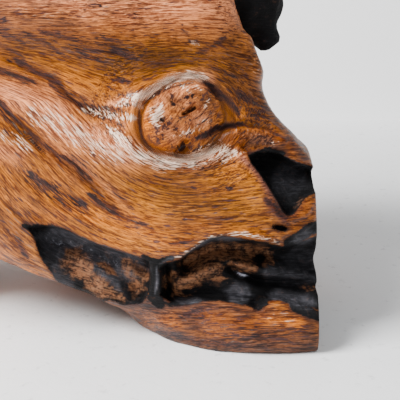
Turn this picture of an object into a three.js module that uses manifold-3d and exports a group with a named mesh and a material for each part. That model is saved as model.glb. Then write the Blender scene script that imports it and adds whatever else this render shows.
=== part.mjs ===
// A polished root burl: one solid piece of wood with a knot, charred hollows, a sawn right end
// and a charred spur behind. Millimetres, +Z up, +X to the sawn end, -Y to the knot side.
// The origin is the middle of the box's bottom face.
import * as THREE from "three";
import Module from "manifold-3d";

// Grid cells along one side of the cube that the directions come from
const GRID = 30;
const SPUR_GRID = 9;

// The heart of the burl, which every ray starts from, and the side where the grid is finer
const HEART = [40, 20, 118];
const FINER_TOWARDS = [0.55, -0.8, -0.1];
const FINER = 0.42;

// The flat sawn end: x = SAWN_X - SAWN_LEAN * z
const SAWN_X = 203;
const SAWN_LEAN = 0.02;
const EDGE_ROUND = 3;

// How softly the lumps run together
const BLEND = 14;

// The great lumps: centre, radii
const LUMPS = [
  { name: "crown", centre: [2, 26, 250], radii: [124, 98, 100] },
  { name: "belly", centre: [-58, 8, 168], radii: [142, 112, 96] },
  { name: "limb", centre: [128, -14, 85], radii: [100, 94, 62] },
  { name: "foot", centre: [173, -22, 16], radii: [112, 86, 48.5] },
  { name: "heel", centre: [-146, 26, 40], radii: [52, 62, 84] },
  { name: "back", centre: [36, 74, 108], radii: [100, 66, 112] },
];

// The long lumps: start, start radius, end, end radius
const ROLLS = [
  { name: "jowl", from: [-40, -30, 114], r0: 54, to: [130, -46, 57], r1: 43 },
  { name: "shoulder", from: [-70, -40, 205], r0: 50, to: [60, -38, 165], r1: 56 },
  { name: "neck", from: [103, -8, 252], r0: 33, to: [114, -14, 190], r1: 36 },
  { name: "flank", from: [116, -12, 186], r0: 26, to: [172, -34, 112], r1: 24 },
  { name: "chin", from: [4, -50, 76], r0: 25, to: [52, -60, 56], r1: 21 },
  { name: "root", from: [-20, 40, 112], r0: 56, to: [-134, 30, 46], r1: 54 },
];

// Charred scoops away from the knot side: centre, half sizes
const SCOOPS = [
  { centre: [20, 158, 110], half: [54, 34, 26] },
  { centre: [-212, 24, 176], half: [26, 38, 24] },
  { centre: [-66, -96, 300], half: [30, 26, 18] },
];
const SCOOP_ROUND = 5;

// The spur behind the right shoulder
const SPUR_HEART = [150, 62, 242];
const SPUR_BLEND = 3;
const SPUR = [
  { from: [104, 62, 252], r0: 30, to: [152, 62, 239], r1: 25 },
  { from: [155, 62, 248], r0: 22, to: [166, 60, 236], r1: 18 },
  { from: [160, 60, 226], r0: 14, to: [171, 58, 208], r1: 11 },
  { from: [138, 62, 222], r0: 18, to: [149, 60, 209], r1: 9 },
  { from: [160, 66, 262], r0: 20, to: [118, 60, 304], r1: 22 },
];

// The marks on the knot side are placed on a chart: how the burl looks from a point in front of it,
// across and down, one unit being about 0.7 mm on the wood
const EYE = [115.4, -693, 310];
const EYE_PITCH = (18 * Math.PI) / 180;
const CHART_SCALE = 900;
const CHART_MIDDLE = 200;
const SIGHT = [0, Math.cos(EYE_PITCH), -Math.sin(EYE_PITCH)];
const RISE = [0, Math.sin(EYE_PITCH), Math.cos(EYE_PITCH)];

// Hollows sunk along the line of sight: outline, width of the wall, depth, deeper and shallower runs
const HOLLOWS = [
  {
    name: "left hollow",
    outline: [
      [25, 226], [36, 224], [55, 225], [68, 229], [80, 236], [100, 244], [135, 255], [150, 260],
      [153, 275], [151, 292], [142, 304], [124, 306], [110, 301], [88, 303], [72, 299], [60, 286],
      [48, 270], [39, 256], [33, 238],
    ],
    wall: 8,
    depth: 15,
    runs: [
      { line: [[40, 238], [62, 242], [100, 256], [140, 268]], deep: 15, wide: 11 },
      { line: [[30, 240], [46, 266], [62, 288], [88, 303], [124, 308]], deep: -14, wide: 13 },
      { line: [[84, 262], [102, 284]], deep: -5, wide: 8 },
      { line: [[112, 268], [134, 290]], deep: 6, wide: 7 },
    ],
  },
  {
    name: "mouth",
    outline: [
      [159, 268], [165, 262], [180, 259], [190, 251], [200, 244], [210, 238], [222, 235], [245, 238],
      [268, 242], [284, 246], [298, 242], [312, 237], [370, 226], [370, 316], [312, 309], [294, 306],
      [280, 301], [270, 302], [259, 311], [246, 306], [222, 302], [200, 302], [186, 306], [170, 303],
      [160, 296],
    ],
    wall: 8,
    depth: 17,
    runs: [
      { line: [[186, 264], [214, 250], [250, 250], [286, 258], [340, 262]], deep: 17, wide: 10 },
      { line: [[232, 270], [246, 278], [262, 284], [340, 290]], deep: 10, wide: 6 },
      { line: [[180, 284], [212, 270]], deep: -7, wide: 8 },
      { line: [[228, 294], [262, 296]], deep: -5, wide: 8 },
      { line: [[326, 230], [326, 320]], deep: -22, wide: 12 },
    ],
  },
  {
    name: "black face",
    outline: [
      [248, 154], [262, 149], [280, 151], [300, 157], [318, 166], [370, 186], [370, 192], [312, 194],
      [303, 201], [297, 212], [291, 219], [285, 211], [277, 198], [268, 182], [258, 168],
    ],
    wall: 8,
    depth: 22,
    runs: [
      { line: [[262, 158], [312, 176]], deep: 8, wide: 14 },
      { line: [[300, 206], [318, 200], [345, 196]], deep: -12, wide: 7 },
      { line: [[326, 150], [326, 250]], deep: -28, wide: 13 },
    ],
  },
];

// Ridges and furrows on the chart: line, height in mm, half width
const FOLDS = [
  { name: "upper furrow", line: [[-60, 22], [0, 52], [30, 67], [58, 80], [76, 98], [96, 112], [124, 120], [142, 122]], high: -3.4, wide: 5 },
  { name: "lower furrow", line: [[-60, 120], [0, 165], [40, 184], [70, 204], [104, 226]], high: -1.6, wide: 6 },
  { name: "band", line: [[-60, 50], [0, 88], [46, 112], [84, 134], [118, 152], [160, 168]], high: 5, wide: 15 },
  { name: "low band", line: [[-60, 100], [0, 136], [40, 168], [76, 192]], high: 3, wide: 14 },
  { name: "valley", line: [[-20, 36], [60, 52], [120, 66], [180, 62], [236, 58]], high: -5, wide: 19 },
  { name: "ledge", line: [[-20, 12], [60, 22], [130, 26], [190, 24], [236, 20]], high: 2.6, wide: 12 },
  { name: "rim of the knot", line: [[122, 97], [146, 92], [166, 82], [190, 75], [208, 76]], high: 3.6, wide: 6 },
  { name: "bank", line: [[108, 122], [122, 138], [134, 152], [160, 164], [190, 163], [214, 152], [240, 150]], high: 4.6, wide: 8 },
  { name: "brow", line: [[214, 140], [232, 132], [252, 131], [276, 138], [292, 148], [312, 160]], high: 6, wide: 7 },
  { name: "under the brow", line: [[250, 146], [270, 144], [284, 150]], high: -4, wide: 6 },
  { name: "cheek", line: [[240, 168], [256, 190], [268, 206]], high: 2.6, wide: 9 },
  { name: "basin", line: [[170, 196], [210, 202], [236, 204]], high: -3.2, wide: 20 },
  { name: "lip", line: [[146, 316], [180, 318], [222, 318], [262, 322], [304, 322]], high: 2.6, wide: 10 },
];

// The front knot on the chart, and the knots elsewhere in space
const KNOT = { middle: [184, 117], half: [43, 38], turn: (-28 * Math.PI) / 180, high: 6 };
const FAR_KNOTS = [
  { centre: [-150, -74, 196], turn: 0.3, half: [30, 24], high: 7 },
  { centre: [-20, 118, 262], turn: 2.2, half: [34, 28], high: 8 },
  { centre: [-120, 96, 150], turn: 1.0, half: [26, 22], high: 7 },
  { centre: [-30, 6, 345], turn: 0.6, half: [32, 27], high: 7 },
  { centre: [128, 72, 120], turn: 1.8, half: [24, 20], high: 6 },
];

// Slow swelling of the surface: size of the waves and height, away from and on the knot side
const SWELL_AWAY = { size: 34, high: 4.5 };
const SWELL_AWAY_FINE = { size: 13, high: 1.8 };

const dot = (a, b) => a[0] * b[0] + a[1] * b[1] + a[2] * b[2];
const minus = (a, b) => [a[0] - b[0], a[1] - b[1], a[2] - b[2]];
const along = (a, d, t) => [a[0] + d[0] * t, a[1] + d[1] * t, a[2] + d[2] * t];
const length = (a) => Math.sqrt(dot(a, a));
const unit = (a) => {
  const size = length(a);
  return [a[0] / size, a[1] / size, a[2] / size];
};
const cross = (a, b) => [
  a[1] * b[2] - a[2] * b[1],
  a[2] * b[0] - a[0] * b[2],
  a[0] * b[1] - a[1] * b[0],
];
const clamp = (x) => Math.min(Math.max(x, 0), 1);
const bell = (x) => Math.exp(-x * x);

// Smooth rise from 0 at a to 1 at b
function rise(a, b, x) {
  const t = clamp((x - a) / (b - a));
  return t * t * (3 - 2 * t);
}

// The smaller of two values, rounded where they meet
function softMin(a, b, k) {
  const h = Math.max(k - Math.abs(a - b), 0) / k;
  return Math.min(a, b) - (h * h * k) / 4;
}

// Distances of many lumps run together
function softUnion(values, k) {
  const least = Math.min(...values);
  let sum = 0;
  for (const value of values) sum += Math.exp(-(value - least) / k);
  return least - k * Math.log(sum);
}

function lumpDistance(p, centre, radii) {
  const q = minus(p, centre).map((value, i) => value / radii[i]);
  const k0 = length(q);
  const k1 = length(q.map((value, i) => value / radii[i]));
  return (k0 * (k0 - 1)) / Math.max(k1, 1e-9);
}

function rollDistance(p, roll) {
  const axis = minus(roll.to, roll.from);
  const t = clamp(dot(minus(p, roll.from), axis) / Math.max(dot(axis, axis), 1e-9));
  return length(minus(p, along(roll.from, axis, t))) - (roll.r0 + t * (roll.r1 - roll.r0));
}

function bodyDistance(p) {
  const values = LUMPS.map((lump) => lumpDistance(p, lump.centre, lump.radii));
  for (const roll of ROLLS) values.push(rollDistance(p, roll));
  return softUnion(values, BLEND);
}

function scoopedDistance(p) {
  let value = bodyDistance(p);
  for (const scoop of SCOOPS) {
    value = -softMin(-value, lumpDistance(p, scoop.centre, scoop.half), SCOOP_ROUND);
  }
  return value;
}

function spurDistance(p) {
  return softUnion(SPUR.map((roll) => rollDistance(p, roll)), SPUR_BLEND);
}

// Length of the ray from the heart to the outermost surface
function reach(direction, distance, heart, far, near, steps) {
  let outer = far;
  let inner = near;
  for (let i = 0; i < steps; i += 1) {
    const t = far + ((near - far) * i) / (steps - 1);
    if (distance(along(heart, direction, t)) < 0) {
      inner = t;
      break;
    }
    outer = t;
  }
  for (let i = 0; i < 20; i += 1) {
    const middle = (inner + outer) / 2;
    if (distance(along(heart, direction, middle)) < 0) inner = middle;
    else outer = middle;
  }
  return (inner + outer) / 2;
}

// Place of a point on the chart
function chart(p) {
  const q = minus(p, EYE);
  const depth = dot(q, SIGHT);
  return [CHART_MIDDLE + (CHART_SCALE * q[0]) / depth, CHART_MIDDLE - (CHART_SCALE * dot(q, RISE)) / depth];
}

// Distance to a line of points on the chart, and how far along it the nearest place is, from 0 to 1
function lineDistance(u, v, line) {
  let best = Infinity;
  let place = 0;
  let run = 0;
  for (let i = 0; i + 1 < line.length; i += 1) {
    const ex = line[i + 1][0] - line[i][0];
    const ey = line[i + 1][1] - line[i][1];
    const size = Math.hypot(ex, ey);
    const t = clamp(((u - line[i][0]) * ex + (v - line[i][1]) * ey) / (size * size));
    const d = Math.hypot(u - line[i][0] - t * ex, v - line[i][1] - t * ey);
    if (d < best) {
      best = d;
      place = run + t * size;
    }
    run += size;
  }
  return { distance: best, place: place / run, size: run };
}

// Distance to an outline on the chart, negative inside
function outlineDistance(u, v, outline) {
  const loop = [...outline, outline[0]];
  let inside = false;
  for (let i = 0; i + 1 < loop.length; i += 1) {
    const [ax, ay] = loop[i];
    const [bx, by] = loop[i + 1];
    if (ay > v !== by > v && u < ax + ((v - ay) * (bx - ax)) / (by - ay)) inside = !inside;
  }
  const { distance } = lineDistance(u, v, loop);
  return inside ? -distance : distance;
}

// How deep the hollows are at a point, along the line of sight
function hollowDepth(p) {
  const [u, v] = chart(p);
  let total = 0;
  for (const hollow of HOLLOWS) {
    const edge = outlineDistance(u, v, hollow.outline);
    if (edge >= 0) continue;
    let deep = hollow.depth;
    for (const run of hollow.runs) deep += run.deep * bell(lineDistance(u, v, run.line).distance / run.wide);
    total += Math.max(deep, 0.5) * rise(0, hollow.wall, -edge);
  }
  return total;
}

// Profile of a knot: a dome, a furrow round it and a swelling outside
function knotProfile(rho) {
  const dome = rho < 1 ? 1 - rho * rho : 0;
  return dome - 0.36 * bell((rho - 1.02) / 0.1) + 0.34 * bell((rho - 1.28) / 0.16);
}

// Distance from a knot's middle in its own uneven rounds
function knotRound(a, b) {
  const angle = Math.atan2(b, a);
  return Math.hypot(a, b) * (1 + 0.05 * Math.sin(3 * angle + 1) + 0.035 * Math.sin(5 * angle + 2.4));
}

function swell(p, size, seed) {
  const [x, y, z] = p.map((value) => value / size);
  const a = Math.sin(x * 1.7 + 2.3 * Math.sin(y * 1.1 + seed) + seed);
  const b = Math.sin(z * 1.9 + 1.9 * Math.sin(x * 1.3 - seed * 2) + 2 * seed);
  const c = Math.sin(y * 1.8 + 2.1 * Math.sin(z * 1.2 + seed * 3) + 3 * seed);
  return (a + b + c) / 3;
}

// Height of the knots, folds and swelling over the great lumps
function relief(p, front) {
  const [u, v] = chart(p);
  let total = 0;
  for (const fold of FOLDS) {
    const near = lineDistance(u, v, fold.line);
    const fade = fold.wide < 0.12 * near.size ? rise(0, 0.22, near.place) * rise(0, 0.22, 1 - near.place) : 1;
    total += front * fold.high * bell(near.distance / fold.wide) * fade;
  }
  const du = u - KNOT.middle[0];
  const dv = v - KNOT.middle[1];
  const c = Math.cos(KNOT.turn);
  const s = Math.sin(KNOT.turn);
  const rho = knotRound((du * c + dv * s) / KNOT.half[0], (-du * s + dv * c) / KNOT.half[1]);
  total += front * KNOT.high * knotProfile(rho);
  for (const knot of FAR_KNOTS) {
    const out = unit(minus(knot.centre, HEART));
    const side = Math.abs(out[2]) < 0.9 ? unit(cross([0, 0, 1], out)) : [1, 0, 0];
    const up = cross(out, side);
    const q = minus(p, knot.centre);
    const a = dot(q, side) * Math.cos(knot.turn) + dot(q, up) * Math.sin(knot.turn);
    const b = -dot(q, side) * Math.sin(knot.turn) + dot(q, up) * Math.cos(knot.turn);
    const close = rise(70, 40, Math.abs(dot(q, out)));
    total += close * knot.high * knotProfile(knotRound(a / knot.half[0], b / knot.half[1]));
  }
  total += (1 - front) * SWELL_AWAY.high * swell(p, SWELL_AWAY.size, 1.3);
  total += (1 - front) * SWELL_AWAY_FINE.high * swell(p, SWELL_AWAY_FINE.size, 4.1);
  return total;
}

// Directions over a cube's six faces, evenly turned, with shared edges, and outward triangles
function directionGrid(n) {
  const faces = [
    (a, b) => [1, a, b],
    (a, b) => [-1, -a, b],
    (a, b) => [-a, 1, b],
    (a, b) => [a, -1, b],
    (a, b) => [-b, a, 1],
    (a, b) => [b, a, -1],
  ];
  const directions = [];
  const triangles = [];
  const known = new Map();
  const index = (p) => {
    const key = p.map((value) => Math.round(value * 1e6)).join(",");
    if (!known.has(key)) {
      known.set(key, directions.length);
      directions.push(unit(p));
    }
    return known.get(key);
  };
  const spread = (i) => Math.tan(((2 * i) / n - 1) * (Math.PI / 4));
  for (const face of faces) {
    for (let i = 0; i < n; i += 1) {
      for (let j = 0; j < n; j += 1) {
        const a = index(face(spread(i), spread(j)));
        const b = index(face(spread(i + 1), spread(j)));
        const c = index(face(spread(i + 1), spread(j + 1)));
        const d = index(face(spread(i), spread(j + 1)));
        triangles.push([a, b, c], [a, c, d]);
      }
    }
  }
  for (const t of triangles) {
    const [a, b, c] = t.map((i) => directions[i]);
    if (dot(cross(minus(b, a), minus(c, a)), a) < 0) t.reverse();
  }
  return { directions, triangles };
}

// Crowds the directions towards the finer side
function crowded(direction) {
  const axis = unit(FINER_TOWARDS);
  const t = dot(direction, axis);
  const side = Math.sqrt(1 - FINER * FINER) / (1 + FINER * t);
  const forward = (t + FINER) / (1 + FINER * t);
  return direction.map((value, i) => (value - t * axis[i]) * side + forward * axis[i]);
}

// How much a place on the great lumps faces the eye of the chart
function facing(p) {
  const slope = [0, 1, 2].map((i) => {
    const ahead = [...p];
    const behind = [...p];
    ahead[i] += 1;
    behind[i] -= 1;
    return bodyDistance(ahead) - bodyDistance(behind);
  });
  return rise(0, 0.5, -dot(unit(slope), SIGHT));
}

function bodyPoint(flatDirection) {
  const direction = crowded(flatDirection);
  const front = rise(0, 0.34, -direction[1]);
  const plain = reach(direction, scoopedDistance, HEART, 330, 20, 60);
  const base = along(HEART, direction, plain);
  let ray = plain + relief(base, front);
  if (direction[2] < -1e-6) ray = softMin(ray, -HEART[2] / direction[2], EDGE_ROUND);
  const lean = direction[0] + SAWN_LEAN * direction[2];
  if (lean > 1e-6) {
    ray = softMin(ray, (SAWN_X - HEART[0] - SAWN_LEAN * HEART[2]) / lean, EDGE_ROUND);
  }
  const p = along(HEART, direction, ray);
  const sink = front > 0 ? facing(base) * rise(2, 16, p[2]) * hollowDepth(p) : 0;
  return along(p, SIGHT, sink);
}

function spurPoint(direction) {
  return along(SPUR_HEART, direction, reach(direction, spurDistance, SPUR_HEART, 80, 3, 40));
}

const wasm = await Module();
wasm.setup();

function solid(n, place) {
  const grid = directionGrid(n);
  const vertProperties = new Float32Array(grid.directions.flatMap(place));
  const triVerts = new Uint32Array(grid.triangles.flat());
  return new wasm.Manifold(new wasm.Mesh({ numProp: 3, vertProperties, triVerts }));
}

function burlGeometry() {
  const joined = solid(GRID, bodyPoint).add(solid(SPUR_GRID, spurPoint)).simplify(0.1);
  const mesh = joined.getMesh();
  const geometry = new THREE.BufferGeometry();
  geometry.setAttribute("position", new THREE.BufferAttribute(new Float32Array(mesh.vertProperties), 3));
  geometry.setIndex(new THREE.BufferAttribute(new Uint32Array(mesh.triVerts), 1));
  geometry.computeBoundingBox();
  const middle = geometry.boundingBox.getCenter(new THREE.Vector3());
  geometry.translate(-middle.x, -middle.y, 0);
  geometry.computeVertexNormals();
  return geometry;
}

const wood = new THREE.MeshStandardMaterial({ color: 0x9a5c2c, roughness: 0.42, metalness: 0 });

const burl = new THREE.Mesh(burlGeometry(), wood);
burl.name = "burl";

const model = new THREE.Group();
model.name = "tree_burl";
model.add(burl);

export default model;
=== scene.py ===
"""A polished root burl on a pale studio floor.

The burl is one radial surface: on every ray from its heart the length is worked out as a whole
array, from great lumps, then folds, knots and grain, then hollows sunk along the line of sight.
"""
import math
import bpy
import numpy as np
from bpy.props import FloatProperty, FloatVectorProperty, IntProperty, PointerProperty
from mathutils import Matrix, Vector


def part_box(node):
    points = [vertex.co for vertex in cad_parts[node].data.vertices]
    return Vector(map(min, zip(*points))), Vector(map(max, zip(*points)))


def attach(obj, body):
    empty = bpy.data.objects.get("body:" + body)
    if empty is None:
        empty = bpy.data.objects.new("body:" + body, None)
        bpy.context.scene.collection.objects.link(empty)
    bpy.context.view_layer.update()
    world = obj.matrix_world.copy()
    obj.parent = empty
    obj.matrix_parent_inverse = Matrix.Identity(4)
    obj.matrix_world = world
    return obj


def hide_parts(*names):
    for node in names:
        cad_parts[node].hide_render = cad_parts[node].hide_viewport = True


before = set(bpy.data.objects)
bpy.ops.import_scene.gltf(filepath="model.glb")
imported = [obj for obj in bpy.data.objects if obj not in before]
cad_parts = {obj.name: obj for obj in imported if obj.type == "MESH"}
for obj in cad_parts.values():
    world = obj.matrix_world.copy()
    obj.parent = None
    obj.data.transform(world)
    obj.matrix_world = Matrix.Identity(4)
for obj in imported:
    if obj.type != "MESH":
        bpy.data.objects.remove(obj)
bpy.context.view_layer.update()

bl_info = {
    "name": "Root burl",
    "version": (1, 0, 0),
    "blender": (4, 5, 0),
    "location": "3D View > Sidebar > Burl",
    "description": "Builds a polished root burl and a plain studio round it",
    "category": "Add Mesh",
}

MM = 0.001

# A distance that is never reached, and the least number that is divided by
FAR_OFF = 1e9
LEAST = 1e-6

# Heart of the burl, and the side where the grid of rays is finer, millimetres
HEART = np.array([40.0, 20.0, 118.0])
FINER_TOWARDS = (0.55, -0.80, -0.10)
FINER = 0.42

# Search along each ray: where it starts, where it ends, even steps; then halvings
BODY_SEARCH = (330.0, 20.0, 60)
SPUR_SEARCH = (90.0, 3.0, 40)
HALVINGS = 16

# Where the front begins and is full, by how far a ray points to the front
SHAPED_FRONT = (0.0, 0.34)
PAINTED_FRONT = (0.02, 0.30)

# The flat sawn end: x = SAWN_X - SAWN_LEAN * z
SAWN_X = 203.0
SAWN_LEAN = 0.02
EDGE_ROUND = 3.0
BLEND = 14.0

# Great lumps: centre, radii
LUMPS = {
    "crown": ((2, 26, 250), (124, 98, 100)),
    "belly": ((-58, 8, 168), (142, 112, 96)),
    "limb": ((128, -14, 85), (100, 94, 62)),
    "foot": ((173, -22, 16), (112, 86, 48.5)),
    "heel": ((-146, 26, 40), (52, 62, 84)),
    "back": ((36, 74, 108), (100, 66, 112)),
}

# Long lumps: start, start radius, end, end radius
ROLLS = {
    "jowl": ((-40, -30, 114), 54, (130, -46, 57), 43),
    "shoulder": ((-70, -40, 205), 50, (60, -38, 165), 56),
    "neck": ((103, -8, 252), 33, (114, -14, 190), 36),
    "flank": ((116, -12, 186), 26, (172, -34, 112), 24),
    "chin": ((4, -50, 76), 25, (52, -60, 56), 21),
    "root": ((-20, 40, 112), 56, (-134, 30, 46), 54),
}

# Charred scoops away from the knot side: centre, half sizes
SCOOPS = (
    ((20, 158, 110), (54, 34, 26)),
    ((-212, 24, 176), (26, 38, 24)),
    ((-66, -96, 300), (30, 26, 18)),
)
SCOOP_ROUND = 5.0

# The charred spur behind the right shoulder
SPUR_HEART = np.array([150.0, 62.0, 242.0])
SPUR_BLEND = 3.0
SPUR = (
    ((104, 62, 252), 30, (152, 62, 239), 25),
    ((155, 62, 248), 22, (166, 60, 236), 18),
    ((160, 60, 226), 14, (171, 58, 208), 11),
    ((138, 62, 222), 18, (149, 60, 209), 9),
    ((160, 66, 262), 20, (118, 60, 304), 22),
)

# The chart: how the burl looks from a point in front of it, and a unit of it in mm of wood
EYE = np.array([115.4, -693.0, 310.0])
EYE_PITCH = math.radians(18.0)
CHART_SCALE = 900.0
CHART_MIDDLE = 200.0
CHART_UNIT = 0.72
SIGHT = np.array([0.0, math.cos(EYE_PITCH), -math.sin(EYE_PITCH)])
RISE = np.array([0.0, math.sin(EYE_PITCH), math.cos(EYE_PITCH)])

# Hollows on the chart: outline, width of the wall, depth in mm, then deeper and shallower runs
LEFT_HOLLOW = (
    (25, 226), (36, 224), (55, 225), (68, 229), (80, 236), (100, 244), (135, 255), (150, 260),
    (153, 275), (151, 292), (142, 304), (124, 306), (110, 301), (88, 303), (72, 299), (60, 286),
    (48, 270), (39, 256), (33, 238),
)
MOUTH = (
    (159, 268), (165, 262), (180, 259), (190, 251), (200, 244), (210, 238), (222, 235), (245, 238),
    (268, 242), (284, 246), (298, 242), (312, 237), (370, 226), (370, 316), (312, 309), (294, 306),
    (280, 301), (270, 302), (259, 311), (246, 306), (222, 302), (200, 302), (186, 306), (170, 303),
    (160, 296),
)
BLACK_FACE = (
    (249, 155), (258, 151), (270, 150), (283, 153), (297, 161), (318, 167), (370, 186), (370, 192),
    (314, 194), (306, 199), (301, 208), (296, 214), (289, 217), (284, 212), (277, 200), (269, 187),
    (260, 173), (252, 163),
)
SMALL_HOLE = ((272, 227), (277, 224), (284, 225), (291, 228), (293, 230), (286, 232), (278, 231))
HOLLOWS = (
    (LEFT_HOLLOW, 4.5, 15.0, (
        (((40, 238), (62, 242), (100, 256), (140, 268)), 15.0, 11.0),
        (((30, 240), (46, 266), (62, 288), (88, 303), (124, 308)), -14.0, 13.0),
        (((84, 262), (102, 284)), -5.0, 8.0),
        (((112, 268), (134, 290)), 6.0, 7.0),
        (((128, 268), (146, 290)), -3.0, 6.0),
    )),
    (MOUTH, 4.5, 17.0, (
        (((186, 264), (214, 250), (250, 250), (286, 258), (340, 262)), 17.0, 10.0),
        (((250, 258), (262, 260)), 8.0, 6.0),
        (((232, 270), (246, 278), (262, 284), (340, 290)), 12.0, 4.5),
        (((180, 284), (212, 270)), -7.0, 8.0),
        (((228, 294), (262, 296)), -5.0, 8.0),
        (((164, 270), (166, 292)), 8.0, 5.0),
        (((236, 264), (268, 272)), -5.0, 5.0),
        (((326, 230), (326, 320)), -22.0, 12.0),
    )),
    (BLACK_FACE, 5.0, 22.0, (
        (((262, 158), (312, 176)), 8.0, 14.0),
        (((300, 206), (318, 200), (345, 196)), -12.0, 7.0),
        (((326, 150), (326, 250)), -28.0, 13.0),
    )),
    (SMALL_HOLE, 3.0, 9.0, ()),
)

# Ridges and furrows on the chart: line, height in mm, half width
FOLDS = (
    (((-60, 22), (0, 52), (30, 67), (58, 80), (76, 98), (96, 112), (124, 120), (142, 122)), -4.8, 5.0),
    (((-60, 60), (0, 70), (18, 77), (38, 84), (60, 95)), -3.0, 4.0),
    (((-70, 40), (0, 104), (22, 125), (45, 146), (72, 166), (98, 190), (122, 213), (152, 233)), -3.8, 4.4),
    (((20, 128), (50, 158)), -2.0, 2.6),
    (((-60, 120), (0, 165), (40, 184), (70, 204), (104, 226)), -1.6, 6.0),
    (((-60, 50), (0, 88), (46, 112), (84, 134), (118, 152), (160, 168)), 5.0, 15.0),
    (((-60, 100), (0, 136), (40, 168), (76, 192)), 3.0, 14.0),
    (((-20, 36), (60, 52), (120, 66), (180, 62), (236, 58)), -5.0, 19.0),
    (((-20, 12), (60, 22), (130, 26), (190, 24), (236, 20)), 2.6, 12.0),
    (((180, 37), (192, 40), (202, 40)), -2.0, 4.0),
    (((206, 46), (222, 40), (240, 36)), -1.6, 5.0),
    (((122, 97), (146, 92), (166, 82), (190, 75), (208, 76)), 3.6, 6.0),
    (((108, 122), (122, 138), (134, 152), (160, 164), (190, 163), (214, 152), (240, 150)), 4.6, 8.0),
    (((204, 80), (218, 90), (230, 103), (238, 117), (246, 122)), -4.4, 4.0),
    (((238, 104), (252, 112), (268, 120), (284, 134)), 1.8, 2.4),
    (((240, 112), (256, 118), (272, 128)), 1.6, 2.2),
    (((240, 96), (256, 106), (272, 116)), 1.4, 2.4),
    (((198, 134), (212, 131), (226, 125), (246, 122), (268, 128), (288, 139)), -4.2, 3.4),
    (((214, 140), (232, 132), (252, 131), (276, 138), (292, 148)), 6.0, 7.0),
    (((312, 134), (322, 146), (332, 160)), -6.5, 11.0),
    (((293, 161), (318, 167)), 2.6, 3.0),
    (((252, 147), (256, 156)), -3.0, 3.0),
    (((250, 40), (256, 56), (258, 72)), 6.0, 10.0),
    (((246, 110), (270, 114)), -1.2, 1.6),
    (((246, 115), (272, 119)), -1.2, 1.6),
    (((250, 146), (270, 144), (284, 150)), -4.0, 6.0),
    (((240, 168), (256, 190), (268, 206)), 2.6, 9.0),
    (((170, 196), (210, 202), (236, 204)), -3.2, 20.0),
    (((148, 256), (166, 255), (186, 249), (204, 237), (222, 230), (246, 233), (268, 238), (286, 240)),
     2.2, 4.0),
    (((190, 222), (216, 221), (244, 222), (264, 229), (282, 236)), -1.4, 3.0),
    (((262, 196), (274, 212), (286, 220), (304, 214), (318, 198)), 2.6, 4.0),
    (((268, 222), (280, 234), (300, 230), (320, 216)), 2.6, 4.0),
    (((146, 316), (180, 318), (222, 318), (262, 322), (304, 322)), 2.6, 10.0),
    (((196, 334), (230, 318), (262, 318), (300, 330)), -1.2, 3.4),
    (((170, 300), (190, 312)), -2.0, 5.0),
    (((30, 246), (44, 264), (58, 282)), 1.2, 4.0),
    (((150, 338), (184, 350), (232, 356)), 4.5, 7.0),
    (((92, 308), (120, 325), (150, 342), (184, 358)), 4.0, 8.0),
    (((6, 176), (50, 206), (100, 224), (140, 238)), 1.8, 7.0),
    (((-20, 190), (20, 214), (60, 222)), -1.8, 7.0),
    (((30, 164), (60, 188), (84, 206)), -1.6, 3.6),
    (((160, 318), (178, 328)), 2.4, 8.0),
    (((196, 314), (204, 336)), -2.2, 6.0),
    (((222, 322), (244, 330)), 2.2, 9.0),
    (((258, 312), (262, 334)), -1.5, 4.6),
    (((274, 318), (298, 326)), 2.0, 8.0),
    (((36, 34), (90, 42), (140, 50)), -1.8, 5.0),
    (((84, 30), (120, 38), (160, 44)), 1.6, 5.0),
)

# The front knot on the chart, then its pits and bumps: line, height in mm, half width
KNOT = (184.0, 117.0)
KNOT_HALF = (43.0, 38.0)
KNOT_TURN = math.radians(-28.0)
KNOT_HIGH = 6.0
KNOT_GRAIN = math.radians(-36.0)
PITS = (
    (((182, 114), (187, 111), (193, 107)), -6.5, 2.1),
    (((180, 151), (185, 145)), -7.0, 4.0),
    (((160, 118), (166, 122)), -2.6, 4.0),
    (((172, 126), (178, 130)), -2.4, 3.6),
    (((172, 100), (182, 104)), -2.2, 3.4),
    (((200, 128), (214, 120), (222, 108)), -1.8, 4.0),
    (((196, 138), (206, 130)), 2.2, 6.0),
    (((205, 98), (214, 106)), 2.2, 8.0),
    (((158, 138), (164, 146)), 2.2, 8.0),
    (((188, 92), (200, 90)), 1.8, 7.0),
)

# Knots elsewhere in space: centre, turn, half sizes, height
FAR_KNOTS = (
    ((-150, -74, 196), 0.3, (30, 24), 7.0),
    ((-20, 118, 262), 2.2, (34, 28), 8.0),
    ((-120, 96, 150), 1.0, (26, 22), 7.0),
    ((-30, 6, 345), 0.6, (32, 27), 7.0),
    ((128, 72, 120), 1.8, (24, 20), 6.0),
)

# Where the slit and the pit of each of them lie: in mm, and in half sizes
SLIT_AT = (3.0, -2.0)
PIT_AT = (-0.4, 0.4)

# The grain is level right of a place on the chart, bends over a width, and climbs for a run
LEVEL_FROM = 150.0
LEVEL_OVER = 18.0
CLIMB_RUN = 260.0

# The grain parts round the front knot as round a post of these half sizes, by this share
POST_HALF = (50.0, 44.0)
POST_SHARE = 0.9

# Inside the knot the grain is taken from elsewhere in the noise; round it, it runs in deeper
KNOT_ELSEWHERE = (400.0, 300.0)
ROUND_RUN = 105.0

# Slope of the grain at the left, by place up and down the chart
SLOPE_PLACES = (-60, 20, 50, 100, 165, 255, 350)
SLOPES = (0.0, 0.05, 0.42, 0.76, 0.66, 0.36, 0.2)

# Swelling away from the front: height and size in mm, seed
AWAY_SWELLS = ((4.5, 34.0, 1.3), (1.8, 13.0, 4.1))

# Fine relief everywhere: height in mm, size and seed of the swell
RIBS = ((0.22, 1.3, 0.7), (0.16, 0.7, 2.9))

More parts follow.
